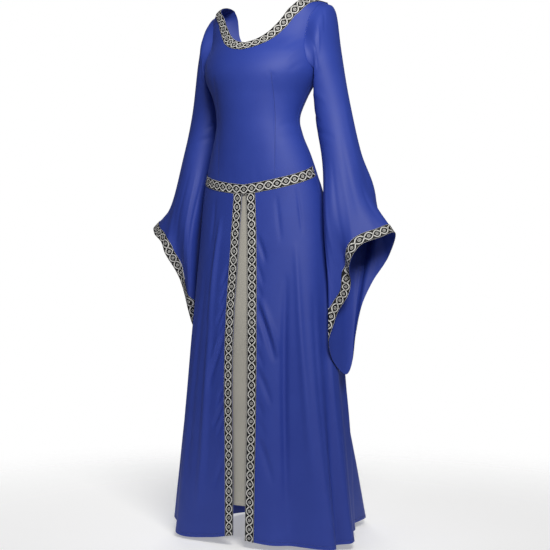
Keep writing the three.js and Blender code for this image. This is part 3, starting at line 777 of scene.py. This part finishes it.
def noise(tree, place, scale, detail, roughness=0.5):
    """Noise over a place, from 0 to 1"""
    inputs = {"Vector": place, "Scale": scale, "Detail": detail, "Roughness": roughness}
    return add(tree, "ShaderNodeTexNoise", None, inputs).outputs["Fac"]


def bump(tree, height, strength, distance, under=None):
    """A bumped normal, laid over another where one is given"""
    inputs = {"Height": height, "Strength": strength, "Distance": distance}
    if under:
        inputs["Normal"] = under
    return add(tree, "ShaderNodeBump", None, inputs).outputs["Normal"]


def reckon(tree, operation, *terms):
    """One step of arithmetic on sockets and numbers"""
    return add(tree, "ShaderNodeMath", {"operation": operation}, dict(enumerate(terms))).outputs["Value"]


def blend(tree, share, first, second):
    """A mix of two colours"""
    inputs = {"Factor": share, "A": first, "B": second}
    return add(tree, "ShaderNodeMix", {"data_type": "RGBA"}, inputs).outputs[2]


GLOSS_RANGE = 0.04


def satin(name, shade, light, roughness, sheen, sheen_tint):
    """Crepe-backed polyester satin: close fine warp floats that give a soft, wide gloss and a faint grain.
    Threads are 0.1 mm apart, drawn at 0.9 mm so that they show"""
    material, tree, shader = finish(name, {
        "IOR": 1.45, "Sheen Weight": sheen, "Sheen Roughness": 0.35, "Sheen Tint": linear(sheen_tint),
    })
    place = add(tree, "ShaderNodeTexCoord").outputs["Object"]
    tone = noise(tree, place, 14.0, 3.0, 0.55)
    tree.links.new(blend(tree, tone, linear(shade), linear(light)), shader["Base Color"])
    floats = add(tree, "ShaderNodeMapping", None, {"Vector": place, "Scale": (1100.0, 1100.0, 240.0)})
    grain = noise(tree, floats.outputs["Vector"], 1.0, 2.0)
    crepe = noise(tree, place, 260.0, 3.0)
    woven = bump(tree, grain, 0.12, 0.0003)
    tree.links.new(bump(tree, crepe, 0.16, 0.0006, woven), shader["Normal"])
    gloss = add(tree, "ShaderNodeMapRange", None, {
        "Value": tone, "To Min": roughness - GLOSS_RANGE, "To Max": roughness + GLOSS_RANGE,
    })
    tree.links.new(gloss.outputs["Result"], shader["Roughness"])
    return material


REPEAT = 22.7
RIB_PITCH = 0.8


def strand_drawing(strand, other, join, over):
    """One of the two crossing strands: its line, and where it lies over the other"""
    return [
        (f"{strand}_gap", join, "off", "wave"),
        (f"to_{strand}", "DIVIDE", f"{strand}_gap_size", "stretch"),
        (f"{strand}_line", "COMPARE", f"to_{strand}", 0.65, 0.42),
        (f"near_{strand}", "LESS_THAN", f"to_{strand}", 2.1),
        (f"{strand}_over", over, "slope", 0.0),
        (f"hides_{other}", "MULTIPLY", f"near_{strand}", f"{strand}_over"),
    ]


# The ribbon's drawing: each line names a value, how it is reckoned and from what
# turn counts repeats along the ribbon, off is the distance from its middle, and _size means without its sign
# In millimetres, the strands swing 8.9 each way, the ring's radius is 3.3, and the edge lines are 12.1 off
RIBBON_DRAWING = [
    ("phase", "MULTIPLY", "turn", math.pi),
    ("swing", "SINE", "phase"),
    ("rounder", "POWER", "swing_size", 0.75),
    ("side", "SIGN", "swing"),
    ("sided", "MULTIPLY", "rounder", "side"),
    ("wave", "MULTIPLY", "sided", 8.9),
    ("slope", "COSINE", "phase"),
    ("steep", "POWER", "slope_size", 2.0),
    ("longer", "MULTIPLY_ADD", "steep", 1.7, 1.0),
    ("stretch", "SQRT", "longer"),
    *strand_drawing("first", "second", "SUBTRACT", "GREATER_THAN"),
    *strand_drawing("second", "first", "ADD", "LESS_THAN"),
    ("first_seen", "SUBTRACT", "first_line", "hides_first"),
    ("second_seen", "SUBTRACT", "second_line", "hides_second"),
    ("strands", "MAXIMUM", "first_seen", "second_seen"),
    ("part", "FRACT", "turn"),
    ("centred", "SUBTRACT", "part", 0.5),
    ("beside", "MULTIPLY", "centred", REPEAT),
    ("beside_square", "POWER", "beside_size", 2.0),
    ("off_square", "POWER", "off_size", 2.0),
    ("both", "ADD", "beside_square", "off_square"),
    ("from_centre", "SQRT", "both"),
    ("ring", "COMPARE", "from_centre", 3.3, 0.4),
    ("dot", "LESS_THAN", "from_centre", 1.0),
    ("rosette", "MAXIMUM", "ring", "dot"),
    ("edge", "COMPARE", "off_size", 12.1, 0.2),
    ("woven", "MAXIMUM", "strands", "rosette"),
    ("drawn", "MAXIMUM", "woven", "edge"),
]


def braid():
    """Jacquard ribbon: black satin ground with a raised cream and silver interlace, ribbed every 0.8 mm.
    The raised threads catch the light and the ground stays dark"""
    material, tree, shader = finish("jacquard_ribbon", {"Roughness": 0.62, "IOR": 1.4})
    flat = add(tree, "ShaderNodeUVMap", {"uv_map": "flat"}).outputs["UV"]
    parts = add(tree, "ShaderNodeSeparateXYZ", None, {"Vector": flat}).outputs
    values = {"turn": parts["X"], "off": parts["Y"]}
    for name, operation, *terms in RIBBON_DRAWING:
        for term in terms:
            if isinstance(term, str) and term not in values:
                values[term] = reckon(tree, "ABSOLUTE", values[term.removesuffix("_size")])
        values[name] = reckon(tree, operation, *(values.get(term, term) for term in terms))
    thread = blend(tree, noise(tree, flat, 9.0, 2.0), linear("#e6e4da"), linear("#ffffff"))
    colour = blend(tree, values["drawn"], linear("#08080a"), thread)
    tree.links.new(colour, shader["Base Color"])
    ribs = reckon(tree, "MULTIPLY", parts["X"], 2 * math.pi * REPEAT / RIB_PITCH)
    weft = bump(tree, reckon(tree, "SINE", ribs), 0.25, 0.0002)
    tree.links.new(bump(tree, values["drawn"], 0.6, 0.0004, weft), shader["Normal"])
    return material


def thread_finish(name, colour):
    """Spun polyester sewing thread: a round, slightly fuzzy strand with a soft gloss, plies 0.3 mm apart"""
    looks = {"Base Color": linear(colour), "Roughness": 0.5, "Sheen Weight": 0.3}
    material, tree, shader = finish(name, looks)
    place = add(tree, "ShaderNodeTexCoord").outputs["Object"]
    plies = bump(tree, noise(tree, place, 3000.0, 1.0), 0.3, 0.0001)
    tree.links.new(plies, shader["Normal"])
    return material


BLUE_SATIN = satin("royal_blue_crepe_satin", "#20368f", "#293f99", 0.62, 0.08, "#6f86e6")
IVORY_SATIN = satin("ivory_crepe_satin", "#a3a097", "#b0ada3", 0.55, 0.1, "#ffffff")
JACQUARD = braid()
BLUE_THREAD = thread_finish("blue_thread", "#182160")
IVORY_THREAD = thread_finish("ivory_thread", "#cfcbbd")
BLACK_THREAD = thread_finish("black_thread", "#111114")

# Millimetres round the skirt for a degree of bearing, where its creases are drawn
DEGREE = 3.5
HEM_FOLD = 9
PANEL_SLACK = 6
SEAM_ROLL = 0.9
SKIRT_DEPTH = 2.7
SLEEVE_DEPTH = 0.7


def settle(piece, node, material, flat, rests_on, stitches=()):
    """Gives a piece its finish, hangs it and its stitches from the root and hides the part that it stands
    for; the flat size of the cloth it was cut from is not used
    """
    piece.data.materials.append(material)
    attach(piece, "root")
    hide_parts(node)
    for sewn in stitches:
        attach(sewn, "root")
    list(stitches)
    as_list(rests_on)


# Bodice

FRONT, FRONT_ARMHOLE = bodice_half(-1)
BACK, BACK_ARMHOLE = bodice_half(1)
STRAP_CALM_Z = -28
# Heights over which the creases come in, above the waist ribbon and below the strap
WAIST_CALM_MM = 14
STRAP_CALM_MM = 30
BODICE_SWAY = 0.25
BODICE_SWAY_MM = 34


def bodice_points(patch, face, rolled):
    """Cloth points of a bodice patch, creased, and rolled in at the armhole and side seam"""
    points = surface(patch)
    x, z = points[..., 0], points[..., 2]
    rows = BODICE_CREASES if face < 0 else BACK_CREASES
    ribbon_top = waist_seam(patch[..., 1], face) + RIBBON_WIDTH / 2
    calm = soft_step(z - ribbon_top, WAIST_CALM_MM) * soft_step(STRAP_CALM_Z - z, STRAP_CALM_MM)
    lift = crease_lift(x, z, rows) + BODICE_SWAY * sway(x + 40 * face, z, BODICE_SWAY_MM)
    rise = calm * lift - SEAM_ROLL * rolled[:, None]
    return points + outward(patch) * rise[..., None]


def bodice_patches(half, face):
    """A bodice half's patches clear of the ridge, with the share of the roll that each column has"""
    for patch, roll in zip(half, (1, 1, 0)):
        rolled = np.zeros(len(patch))
        rolled[-1] = roll
        yield clear_of_ridge(patch, face), rolled


def bodice_front():
    grids = []
    for patch, rolled in bodice_patches(FRONT, -1):
        grids.append(bodice_points(patch, -1, rolled))
        grids.append(bodice_points(mirrored(patch), -1, rolled[::-1]))
    return shell("bodice_front_cloth", grids, CLOTH)


DART_ROWS = (0, 4)
DART_DEPTH = 1.1
THREAD_LIFT = 0.25


def dart_stitches():
    """The two darts' seams, from the bust down to the waist ribbon"""
    lines = []
    for row in DART_ROWS:
        x0, z0, x1, z1 = (BODICE_CREASES[name][row] for name in ("from_x", "from_z", "to_x", "to_z"))
        share = np.linspace(0, 1, 60)
        z = mix(z0, z1, share)
        place = place_of(z, -1)
        pairs = np.stack([place, angle_of(mix(x0, x1, share), place)], -1)
        sunk = DART_DEPTH * np.sin(np.pi * share) ** TAPER
        lines.append(surface(pairs) + outward(pairs) * (THREAD_LIFT - sunk)[:, None])
    return sew("bodice_dart_stitches", lines, BLUE_THREAD)


def bodice_back(side, hand):
    grids = []
    for patch, rolled in bodice_patches(BACK, 1):
        if side > 0:
            grids.append(bodice_points(patch[::-1], 1, rolled[::-1]))
        else:
            grids.append(bodice_points(mirrored(patch)[::-1], 1, rolled))
    return shell(f"bodice_back_{hand}_cloth", grids, CLOTH)


settle(
    bodice_front(), "bodice_front", BLUE_SATIN,
    (0.5, 0.52), ["neck_trim"], [dart_stitches()],
)
for side, hand in ((1, "left"), (-1, "right")):
    settle(
        bodice_back(side, hand), f"bodice_back_{hand}", BLUE_SATIN,
        (0.27, 0.48), ["bodice_front"],
    )

# Skirt

def skirt_pairs(side, face, columns, rows, hem_z=None):
    """Pairs over columns and rows of one quarter of the skirt, rows running up from the hem"""
    column = columns[:, None]
    low = np.degrees(column_angle(column, HEM_Z, face))
    hem = read(HEM[side], "bearing", "z", low if face < 0 else 180 - low) if hem_z is None else hem_z
    seam = waist_seam(column_angle(column, WAIST_SIDE_Z, face), face) - SEAM / 2
    band = seam - RIBBON_WIDTH / 2
    row = rows[None, ::-1]
    z = np.where(row < 0, mix(band, seam, -row), mix(band, hem, row / SKIRT_ROWS))
    return np.stack([place_of(z, face), side * column_angle(column, z, face)], -1)


ROW_MM = (WAIST_FRONT_Z - HEM_Z) / SKIRT_ROWS
SKIRT_SWAY = 0.7
SKIRT_SWAY_MM = 46
# Rows and columns over which the creases come in, past the waist seam and the opening's ribbon
CALM_ROWS = 0.25
CALM_COLUMNS = 0.12
HEM_THICKER = 0.35
HEM_STEP_MM = 3
HEM_DENT = 0.3
HEM_DENT_MM = 1.6
SIDE_SEAM_ROLL = 1.1
BACK_SEAM_ROLL = 0.9
ROLL_COLUMNS = 0.09


def skirt_points(pairs, side, face, columns, rows):
    """Cloth points of a quarter of the skirt, creased beyond the ribbons, rolled in at its seams"""
    points = surface(pairs)
    column, row = columns[:, None], rows[None, ::-1]
    angle, z = pairs[..., 1], points[..., 2]
    bearing = np.degrees(angle if face < 0 else side * np.pi - angle)
    lift = SKIRT_DEPTH * crease_lift(bearing * DEGREE, z, in_mm(SKIRT_CREASES, bearing=DEGREE))
    lift = lift + SKIRT_SWAY * sway(bearing * DEGREE, z, SKIRT_SWAY_MM)
    calm = soft_step(row, CALM_ROWS)
    if face < 0:
        calm = calm * soft_step(column - 1, CALM_COLUMNS)
    to_fold = (SKIRT_ROWS - row) * ROW_MM - HEM_FOLD
    thicker = HEM_THICKER * soft_step(HEM_STEP_MM / 2 - to_fold, HEM_STEP_MM)
    turned_up = thicker - HEM_DENT * hump(to_fold, HEM_DENT_MM)
    last = FRONT_COLUMNS if face < 0 else BACK_COLUMNS
    rolled = SIDE_SEAM_ROLL * hump(last - column, ROLL_COLUMNS)
    if face > 0:
        rolled = rolled + BACK_SEAM_ROLL * hump(column, ROLL_COLUMNS)
    raised = calm * lift + turned_up - rolled * soft_step(row, 0.1)
    normal = outward(pairs)
    return points + normal * raised[..., None], normal


def skirt_rows():
    """Rows from the waist seam down, with more near the hem's fold"""
    close = np.array([0, 2, 5, 7, 8, 9, 10, 11, 13, 17]) / ROW_MM
    band = np.linspace(-1, 0, 5)
    even = np.arange(0, SKIRT_ROWS, 1 / FINE_ROWS)
    return np.unique(np.round(np.concatenate([band, even, SKIRT_ROWS - close]), 4))


SKIRT_ROW = skirt_rows()
# Row of the grid, counted from the hem edge, that holds the stitches
HEM_LINE = 5
STITCH_LIFT = 0.15


def skirt_quarter(side, face, hand):
    columns = column_shares(FRONT_COLUMNS if face < 0 else BACK_COLUMNS, 0, 1)
    pairs = skirt_pairs(side, face, columns, SKIRT_ROW)
    points, normal = skirt_points(pairs, side, face, columns, SKIRT_ROW)
    line = points[:, HEM_LINE] + normal[:, HEM_LINE] * STITCH_LIFT
    face_name = "front" if face < 0 else "back"
    stitches = sew(f"skirt_{face_name}_{hand}_hem_stitches", [line], BLUE_THREAD)
    grid = points if side * face < 0 else points[::-1]
    return shell(f"skirt_{face_name}_{hand}_cloth", [grid], CLOTH), [stitches]


for side, hand in ((1, "left"), (-1, "right")):
    piece, stitches = skirt_quarter(side, -1, hand)
    settle(
        piece, f"skirt_front_{hand}", BLUE_SATIN,
        (0.33, 0.97), ["bodice_front"], stitches,
    )
    piece, stitches = skirt_quarter(side, 1, hand)
    settle(
        piece, f"skirt_back_{hand}", BLUE_SATIN,
        (0.5, 0.97), [f"bodice_back_{hand}"], stitches,
    )

# Ivory panel behind the opening

# Height of its soft folds, and their spacing as millimetres for a radian
PANEL_FOLD = 1.0
PANEL_FOLD_MM = 9.5
# Columns on each side of the centre that the opening shows, where the hem is stitched
SEEN_COLUMNS = 9


def under_panel():
    """The panel hangs inside the skirt fronts, plain, with its own hem"""
    columns = np.linspace(0, 2, 17)
    rows = SKIRT_ROW
    pairs = skirt_pairs(1, -1, columns, rows, UNDERPANEL_HEM_Z)
    halves = np.concatenate([pairs[::-1] * (1, -1), pairs])
    points = surface(halves)
    row = rows[None, ::-1]
    x = points[..., 0]
    behind = soft_step(np.abs(np.concatenate([-columns[::-1], columns]))[:, None] - 0.9, 0.5)
    drop = -CLOTH - SEAM - (PANEL_DROP + PANEL_SLACK * behind) * soft_step(row + 1, 1)
    wave = np.cos(x / PANEL_FOLD_MM + 0.6 * np.sin(points[..., 2] / 210)) - 1
    folds = PANEL_FOLD * soft_step(row, 4) * wave
    normal = outward(halves)
    points = points + normal * (drop + folds)[..., None]
    seen = slice(len(halves) // 2 - SEEN_COLUMNS, len(halves) // 2 + SEEN_COLUMNS)
    line = (points + normal * STITCH_LIFT)[seen, HEM_LINE]
    stitches = sew("underpanel_hem_stitches", [line], IVORY_THREAD)
    return shell("underpanel_cloth", [points], CLOTH), [stitches]


piece, stitches = under_panel()
settle(
    piece, "underpanel", IVORY_SATIN,
    (0.15, 0.82), ["waist_trim"], stitches,
)

# Ribbons

def flat_ribbon(points, run, lengthwise=0):
    """The ribbon's flat drawing over a grid: repeats along it, millimetres off its middle across it"""
    off = np.linspace(-RIBBON_WIDTH / 2, RIBBON_WIDTH / 2, points.shape[1 - lengthwise])
    turn = run / REPEAT
    u, v = np.meshgrid(turn, off, indexing="ij") if lengthwise == 0 else np.meshgrid(turn, off)
    return np.stack([u, v], -1)


STITCH_FROM_EDGE = 1.2
THREAD_SUNK = 0.12


def ribbon(node, parts, flat, rests_on, lengthwise=0, flats=None):
    """A ribbon over parts, each a grid of points, its outward vectors and the running length along it"""
    lines = []
    edge = STITCH_FROM_EDGE / RIBBON_WIDTH
    for points, normal, _ in parts:
        over = points + normal * (SEAM + RIBBON + THREAD_SUNK)
        across = over if lengthwise == 0 else over.transpose(1, 0, 2)
        for share in (edge, 1 - edge):
            at = share * (across.shape[1] - 1)
            lines.append(mix(across[:, int(at)], across[:, int(at) + 1], at - int(at)))
    stitches = sew(f"{node}_stitches", lines, BLACK_THREAD)
    flats = flats or [flat_ribbon(points, run, lengthwise) for points, _, run in parts]
    piece = shell(f"{node}_ribbon", [points for points, _, _ in parts], RIBBON, SEAM + RIBBON, flats)
    settle(piece, node, JACQUARD, flat, rests_on, [stitches])


def middle_run(points):
    return lengths(points[:, points.shape[1] // 2])


def waist_ribbon():
    columns = np.linspace(0, FRONT_COLUMNS, FRONT_COLUMNS * FINE + 1)
    angle = column_angle(columns, WAIST_SIDE_Z, -1, centred=True)
    off = np.linspace(-RIBBON_WIDTH / 2, RIBBON_WIDTH / 2, 7)
    z = waist_seam(angle, -1)[:, None] + off[None]
    left = np.stack([place_of(z, -1), np.repeat(angle[:, None], len(off), 1)], -1)
    pairs = np.concatenate([mirrored(left)[:-1], left])
    points = surface(pairs)
    run = middle_run(points)
    run = run + (REPEAT - run[-1]) / 2
    ribbon("waist_trim", [(points, outward(pairs), run)], (0.42, 0.025), ["bodice_front"])


def neck_ribbon():
    """Ribbon round the neck, its drawing symmetrical about the front centre and whole at the back"""
    front, back = clear_of_ridge(FRONT[2], -1), clear_of_ridge(BACK[2], 1)
    front_run, back_run = middle_run(surface(front)), middle_run(surface(back))
    total = front_run[-1] + back_run[-1]
    whole = round(total / REPEAT) * REPEAT / total
    behind = total - back_run
    parts = []
    for pairs, run in (
        (front, front_run), (mirrored(front), -front_run[::-1]),
        (back[::-1], behind[::-1]), (mirrored(back)[::-1], -behind),
    ):
        parts.append((surface(pairs), outward(pairs), run * whole))
    ribbon("neck_trim", parts, (1.07, 0.025), ["bodice_front"])


def opening_ribbon(side, hand):
    columns = np.linspace(0, 1, 7)
    rows = SKIRT_ROW[SKIRT_ROW >= 0]
    pairs = skirt_pairs(side, -1, columns, rows)
    points, normal = skirt_points(pairs, side, -1, columns, rows)
    if side < 0:
        points, normal = points[::-1], normal[::-1]
    run = -lengths(points[3][::-1])[::-1]
    part = (points, normal, run)
    ribbon(f"slit_trim_{hand}", [part], (0.025, 0.9), [f"skirt_front_{hand}"], lengthwise=1)


waist_ribbon()
neck_ribbon()
for side, hand in ((1, "left"), (-1, "right")):
    opening_ribbon(side, hand)

# Sleeves

SLEEVE_COLUMNS = 2 * (ARMHOLE_ROWS + STRAP_ROWS) * FINE
# A sleeve's measures round and along it, for the creases
ROUND_MM = 520
DOWN_MM = 620


def sleeve_stations(side):
    """Points round the armhole, the rings and the cuff of the left-hand form of a sleeve"""
    edge = np.vstack([FRONT_ARMHOLE[::-1], BACK_ARMHOLE[1:-1]])
    start = surface(edge) - outward(edge) * SEAM_ROLL
    turn = np.arange(SLEEVE_COLUMNS) / SLEEVE_COLUMNS
    angle = 2 * np.pi * turn[:, None]
    stations = [start]
    for outer, front, under, back in zip(*(np.array(points, float) for points in SLEEVE.values())):
        centre = (outer + front + under + back) / 4
        squash = (outer + under - front - back) / 4 * np.cos(2 * angle)
        across = (outer - under) / 2 * np.cos(angle)
        deep = (front - back) / 2 * np.sin(angle)
        stations.append(centre + across + deep + squash)
    rows = {name: np.concatenate([column[-2:], column, column[:3]]) for name, column in CUFF.items()}
    rows["turn"] = np.concatenate([CUFF["turn"][-2:] - 1, CUFF["turn"], CUFF["turn"][:3] + 1])
    x, y, z, back, rise = (read(rows, "turn", name, turn) for name in ("x", "y", "z", "back", "rise"))
    right = side < 0
    stations.append(np.stack([x, y + back * right, z + rise * right], -1))
    return np.array(stations)


def down_sleeve(stations, share):
    """Points at shares of the length, given for each column"""
    at = np.interp(share, SLEEVE_ALONG, np.arange(len(SLEEVE_ALONG)))
    return smooth(stations, at, np.arange(len(share))[:, None])


def dense(line):
    """A line of points again, with four steps for each of its own"""
    at = np.linspace(0, len(line) - 1, 4 * (len(line) - 1) + 1)
    return np.stack([np.interp(at, np.arange(len(line)), line[:, k]) for k in range(3)], -1)


def gaps_to(points, line):
    return np.linalg.norm(points[..., None, :] - line, axis=-1)


# Share of the length above which the ribbon's upper edge isn't looked for, and how often the rest is halved
RIBBON_HIGHEST = 0.7
HALVINGS = 16


def ribbon_share(stations):
    """Share of the length at the cuff ribbon's upper edge, a ribbon's width from the cuff, for each column"""
    edge = stations[-1]
    line = dense(np.concatenate([edge, edge[:1]]))
    low, high = np.full(len(edge), RIBBON_HIGHEST), np.ones(len(edge))
    for _ in range(HALVINGS):
        middle = (low + high) / 2
        far = gaps_to(down_sleeve(stations, middle[:, None])[:, 0], line).min(-1) > RIBBON_WIDTH
        low, high = np.where(far, middle, low), np.where(far, high, middle)
    return (np.roll(low, 2) + 2 * np.roll(low, 1) + 3 * low + 2 * np.roll(low, -1) + np.roll(low, -2)) / 9


def cuff_flat(cuff):
    """The ribbon's flat drawing on a cuff: repeats along its edge, millimetres off its middle"""
    line = dense(cuff[:, -1])
    run = lengths(line)
    gap = gaps_to(cuff, line)
    nearest = gap.argmin(-1)
    ahead = line[np.minimum(nearest + 1, len(line) - 1)] - line[np.maximum(nearest - 1, 0)]
    ahead /= np.linalg.norm(ahead, axis=-1, keepdims=True)
    past = np.sum((cuff - line[nearest]) * ahead, -1)
    off = np.sqrt(np.maximum(gap.min(-1) ** 2 - past ** 2, 0))
    turn = (run[nearest] + past) / run[-1]
    own = lengths(cuff[:, -1])[:, None] / run[-1]
    turn = turn - np.round(turn - own)
    return np.stack([turn * round(run[-1] / REPEAT), RIBBON_WIDTH / 2 - off], -1)


CUFF_ROWS = 6
SLEEVE_SWAY = 0.5
# Share of the creases that the cuff's ribbon takes away
CUFF_CALM = 0.75


def sleeve_grid(side):
    """Points and outward vectors of a sleeve, its columns running round from the wrist"""
    stations = sleeve_stations(side)
    low = ribbon_share(stations)[:, None]
    even = np.arange(1, SLEEVE_RINGS * FINE_ROWS + 1) / FINE_ROWS
    rows = np.concatenate([[0, 0.02, 0.05, 0.1], even]) / SLEEVE_RINGS
    cuff_rows = np.arange(1, CUFF_ROWS + 1)[None] / CUFF_ROWS
    share = np.concatenate([low * rows[None], mix(low, 1, cuff_rows)], 1)
    share = np.vstack([share, share[:1]])
    stations = np.concatenate([stations, stations[:, :1]], 1)
    points = down_sleeve(stations, share)
    normal = tube_normals(points)
    turn = np.linspace(0, 1, SLEEVE_COLUMNS + 1)[:, None] * np.ones_like(share)
    rows_mm = in_mm(SLEEVE_CREASES, turn=ROUND_MM, share=DOWN_MM)
    wrapped = (crease_lift((turn + more) * ROUND_MM, share * DOWN_MM, rows_mm) for more in (-1, 0, 1))
    lift = SLEEVE_DEPTH * sum(wrapped)
    lift = lift + SLEEVE_SWAY * np.sin(2 * np.pi * (3 * turn + 2 * share)) * np.sin(11 * share)
    calm = soft_step(share, 0.04) * (1 - CUFF_CALM * soft_step(share - low.min(), 1 - low.min()))
    points = points + normal * (calm * lift)[..., None]
    return points, tube_normals(points)


def sleeve(side, hand):
    points, normal = sleeve_grid(side)
    if side < 0:
        points, normal = points[::-1] * (-1, 1, 1), normal[::-1] * (-1, 1, 1)
    piece = shell(f"sleeve_{hand}_cloth", [points], CLOTH)
    settle(piece, f"sleeve_{hand}", BLUE_SATIN, (0.56, 0.8), ["bodice_front"])
    cuff, cuff_normal = points[:, -CUFF_ROWS - 1:], normal[:, -CUFF_ROWS - 1:]
    part = (cuff, cuff_normal, None)
    ribbon(f"cuff_trim_{hand}", [part], (1.0, 0.025), [f"sleeve_{hand}"], flats=[cuff_flat(cuff)])


for side, hand in ((1, "left"), (-1, "right")):
    sleeve(side, hand)

# Floor, soft studio light and a pale surround

FLOOR_GAP = 0.003
FLOOR_RADIUS = 1.9
FLOOR_POINTS = 96
FADE_FROM = 0.55
FADE_TO = 1.8


def floor():
    """A disc of pale paper that fades into the white surround, so that it has no edge"""
    mesh = bpy.data.meshes.new("studio_floor")
    z = float(cad_box[0][2]) - FLOOR_GAP
    turns = np.linspace(0, 2 * np.pi, FLOOR_POINTS, endpoint=False)
    rim = [(FLOOR_RADIUS * math.cos(t), FLOOR_RADIUS * math.sin(t), z) for t in turns]
    mesh.from_pydata(rim, [], [tuple(range(len(rim)))])
    plane = link("studio_floor", mesh)
    material, tree, shader = finish("pale_paper_floor", {
        "Base Color": linear("#f4f4f2"), "Roughness": 0.9,
        "Emission Color": linear("#ffffff"), "Emission Strength": 0.36,
    })
    place = add(tree, "ShaderNodeTexCoord").outputs["Object"]
    middle = add(tree, "ShaderNodeMapping", None, {"Vector": place, "Location": (0.0, 0.0, -z)})
    reach = add(tree, "ShaderNodeVectorMath", {"operation": "LENGTH"}, {0: middle.outputs["Vector"]})
    fade = add(tree, "ShaderNodeMapRange", {"interpolation_type": "SMOOTHSTEP"}, {
        "Value": reach.outputs["Value"],
        "From Min": FADE_FROM, "From Max": FADE_TO, "To Min": 1.0, "To Max": 0.0,
    })
    tree.links.new(fade.outputs["Result"], shader["Alpha"])
    mesh.materials.append(material)


def lamp(name, place, size, power, colour, aim_z=CAMERA_HEIGHT, spread_degrees=180):
    """A square softbox aimed at the gown's middle or another height"""
    light = bpy.data.lights.new(name, "AREA")
    light.size = size
    light.energy = power
    light.color = linear(colour)[:3]
    light.spread = math.radians(spread_degrees)
    box = link(name, light)
    box.location = place
    aim = np.array(place) - np.array((0, 0, aim_z))
    tilt = math.acos(aim[2] / np.linalg.norm(aim))
    box.rotation_euler = (tilt, 0, math.atan2(aim[1], aim[0]) + math.pi / 2)


def surround():
    """A pale surround: soft light from all round, and a white ground behind"""
    world = bpy.data.worlds.new("pale_surround")
    world.use_nodes = True
    tree = world.node_tree
    tree.nodes.clear()
    seen = add(tree, "ShaderNodeLightPath").outputs["Is Camera Ray"]
    soft = add(tree, "ShaderNodeBackground", None, {"Color": linear("#f2f4ff"), "Strength": 0.14})
    ground = add(tree, "ShaderNodeBackground", None, {"Color": linear("#ffffff"), "Strength": 1.0})
    both = add(tree, "ShaderNodeMixShader", None, {0: seen, 1: soft.outputs[0], 2: ground.outputs[0]})
    add(tree, "ShaderNodeOutputWorld", None, {"Surface": both.outputs[0]})
    bpy.context.scene.world = world


CHEST_Z = -0.25
floor()
surround()
lamp("key", (1.4, -1.75, 0.8), 0.9, 16, "#fffdf8", CHEST_Z, 84)
lamp("fill", (-0.9, -2.8, 0.9), 2.0, 8, "#eef2ff")
lamp("back", (-1.6, 2.6, 0.9), 1.6, 30, "#ffffff")
bpy.context.scene.view_settings.view_transform = "Standard"
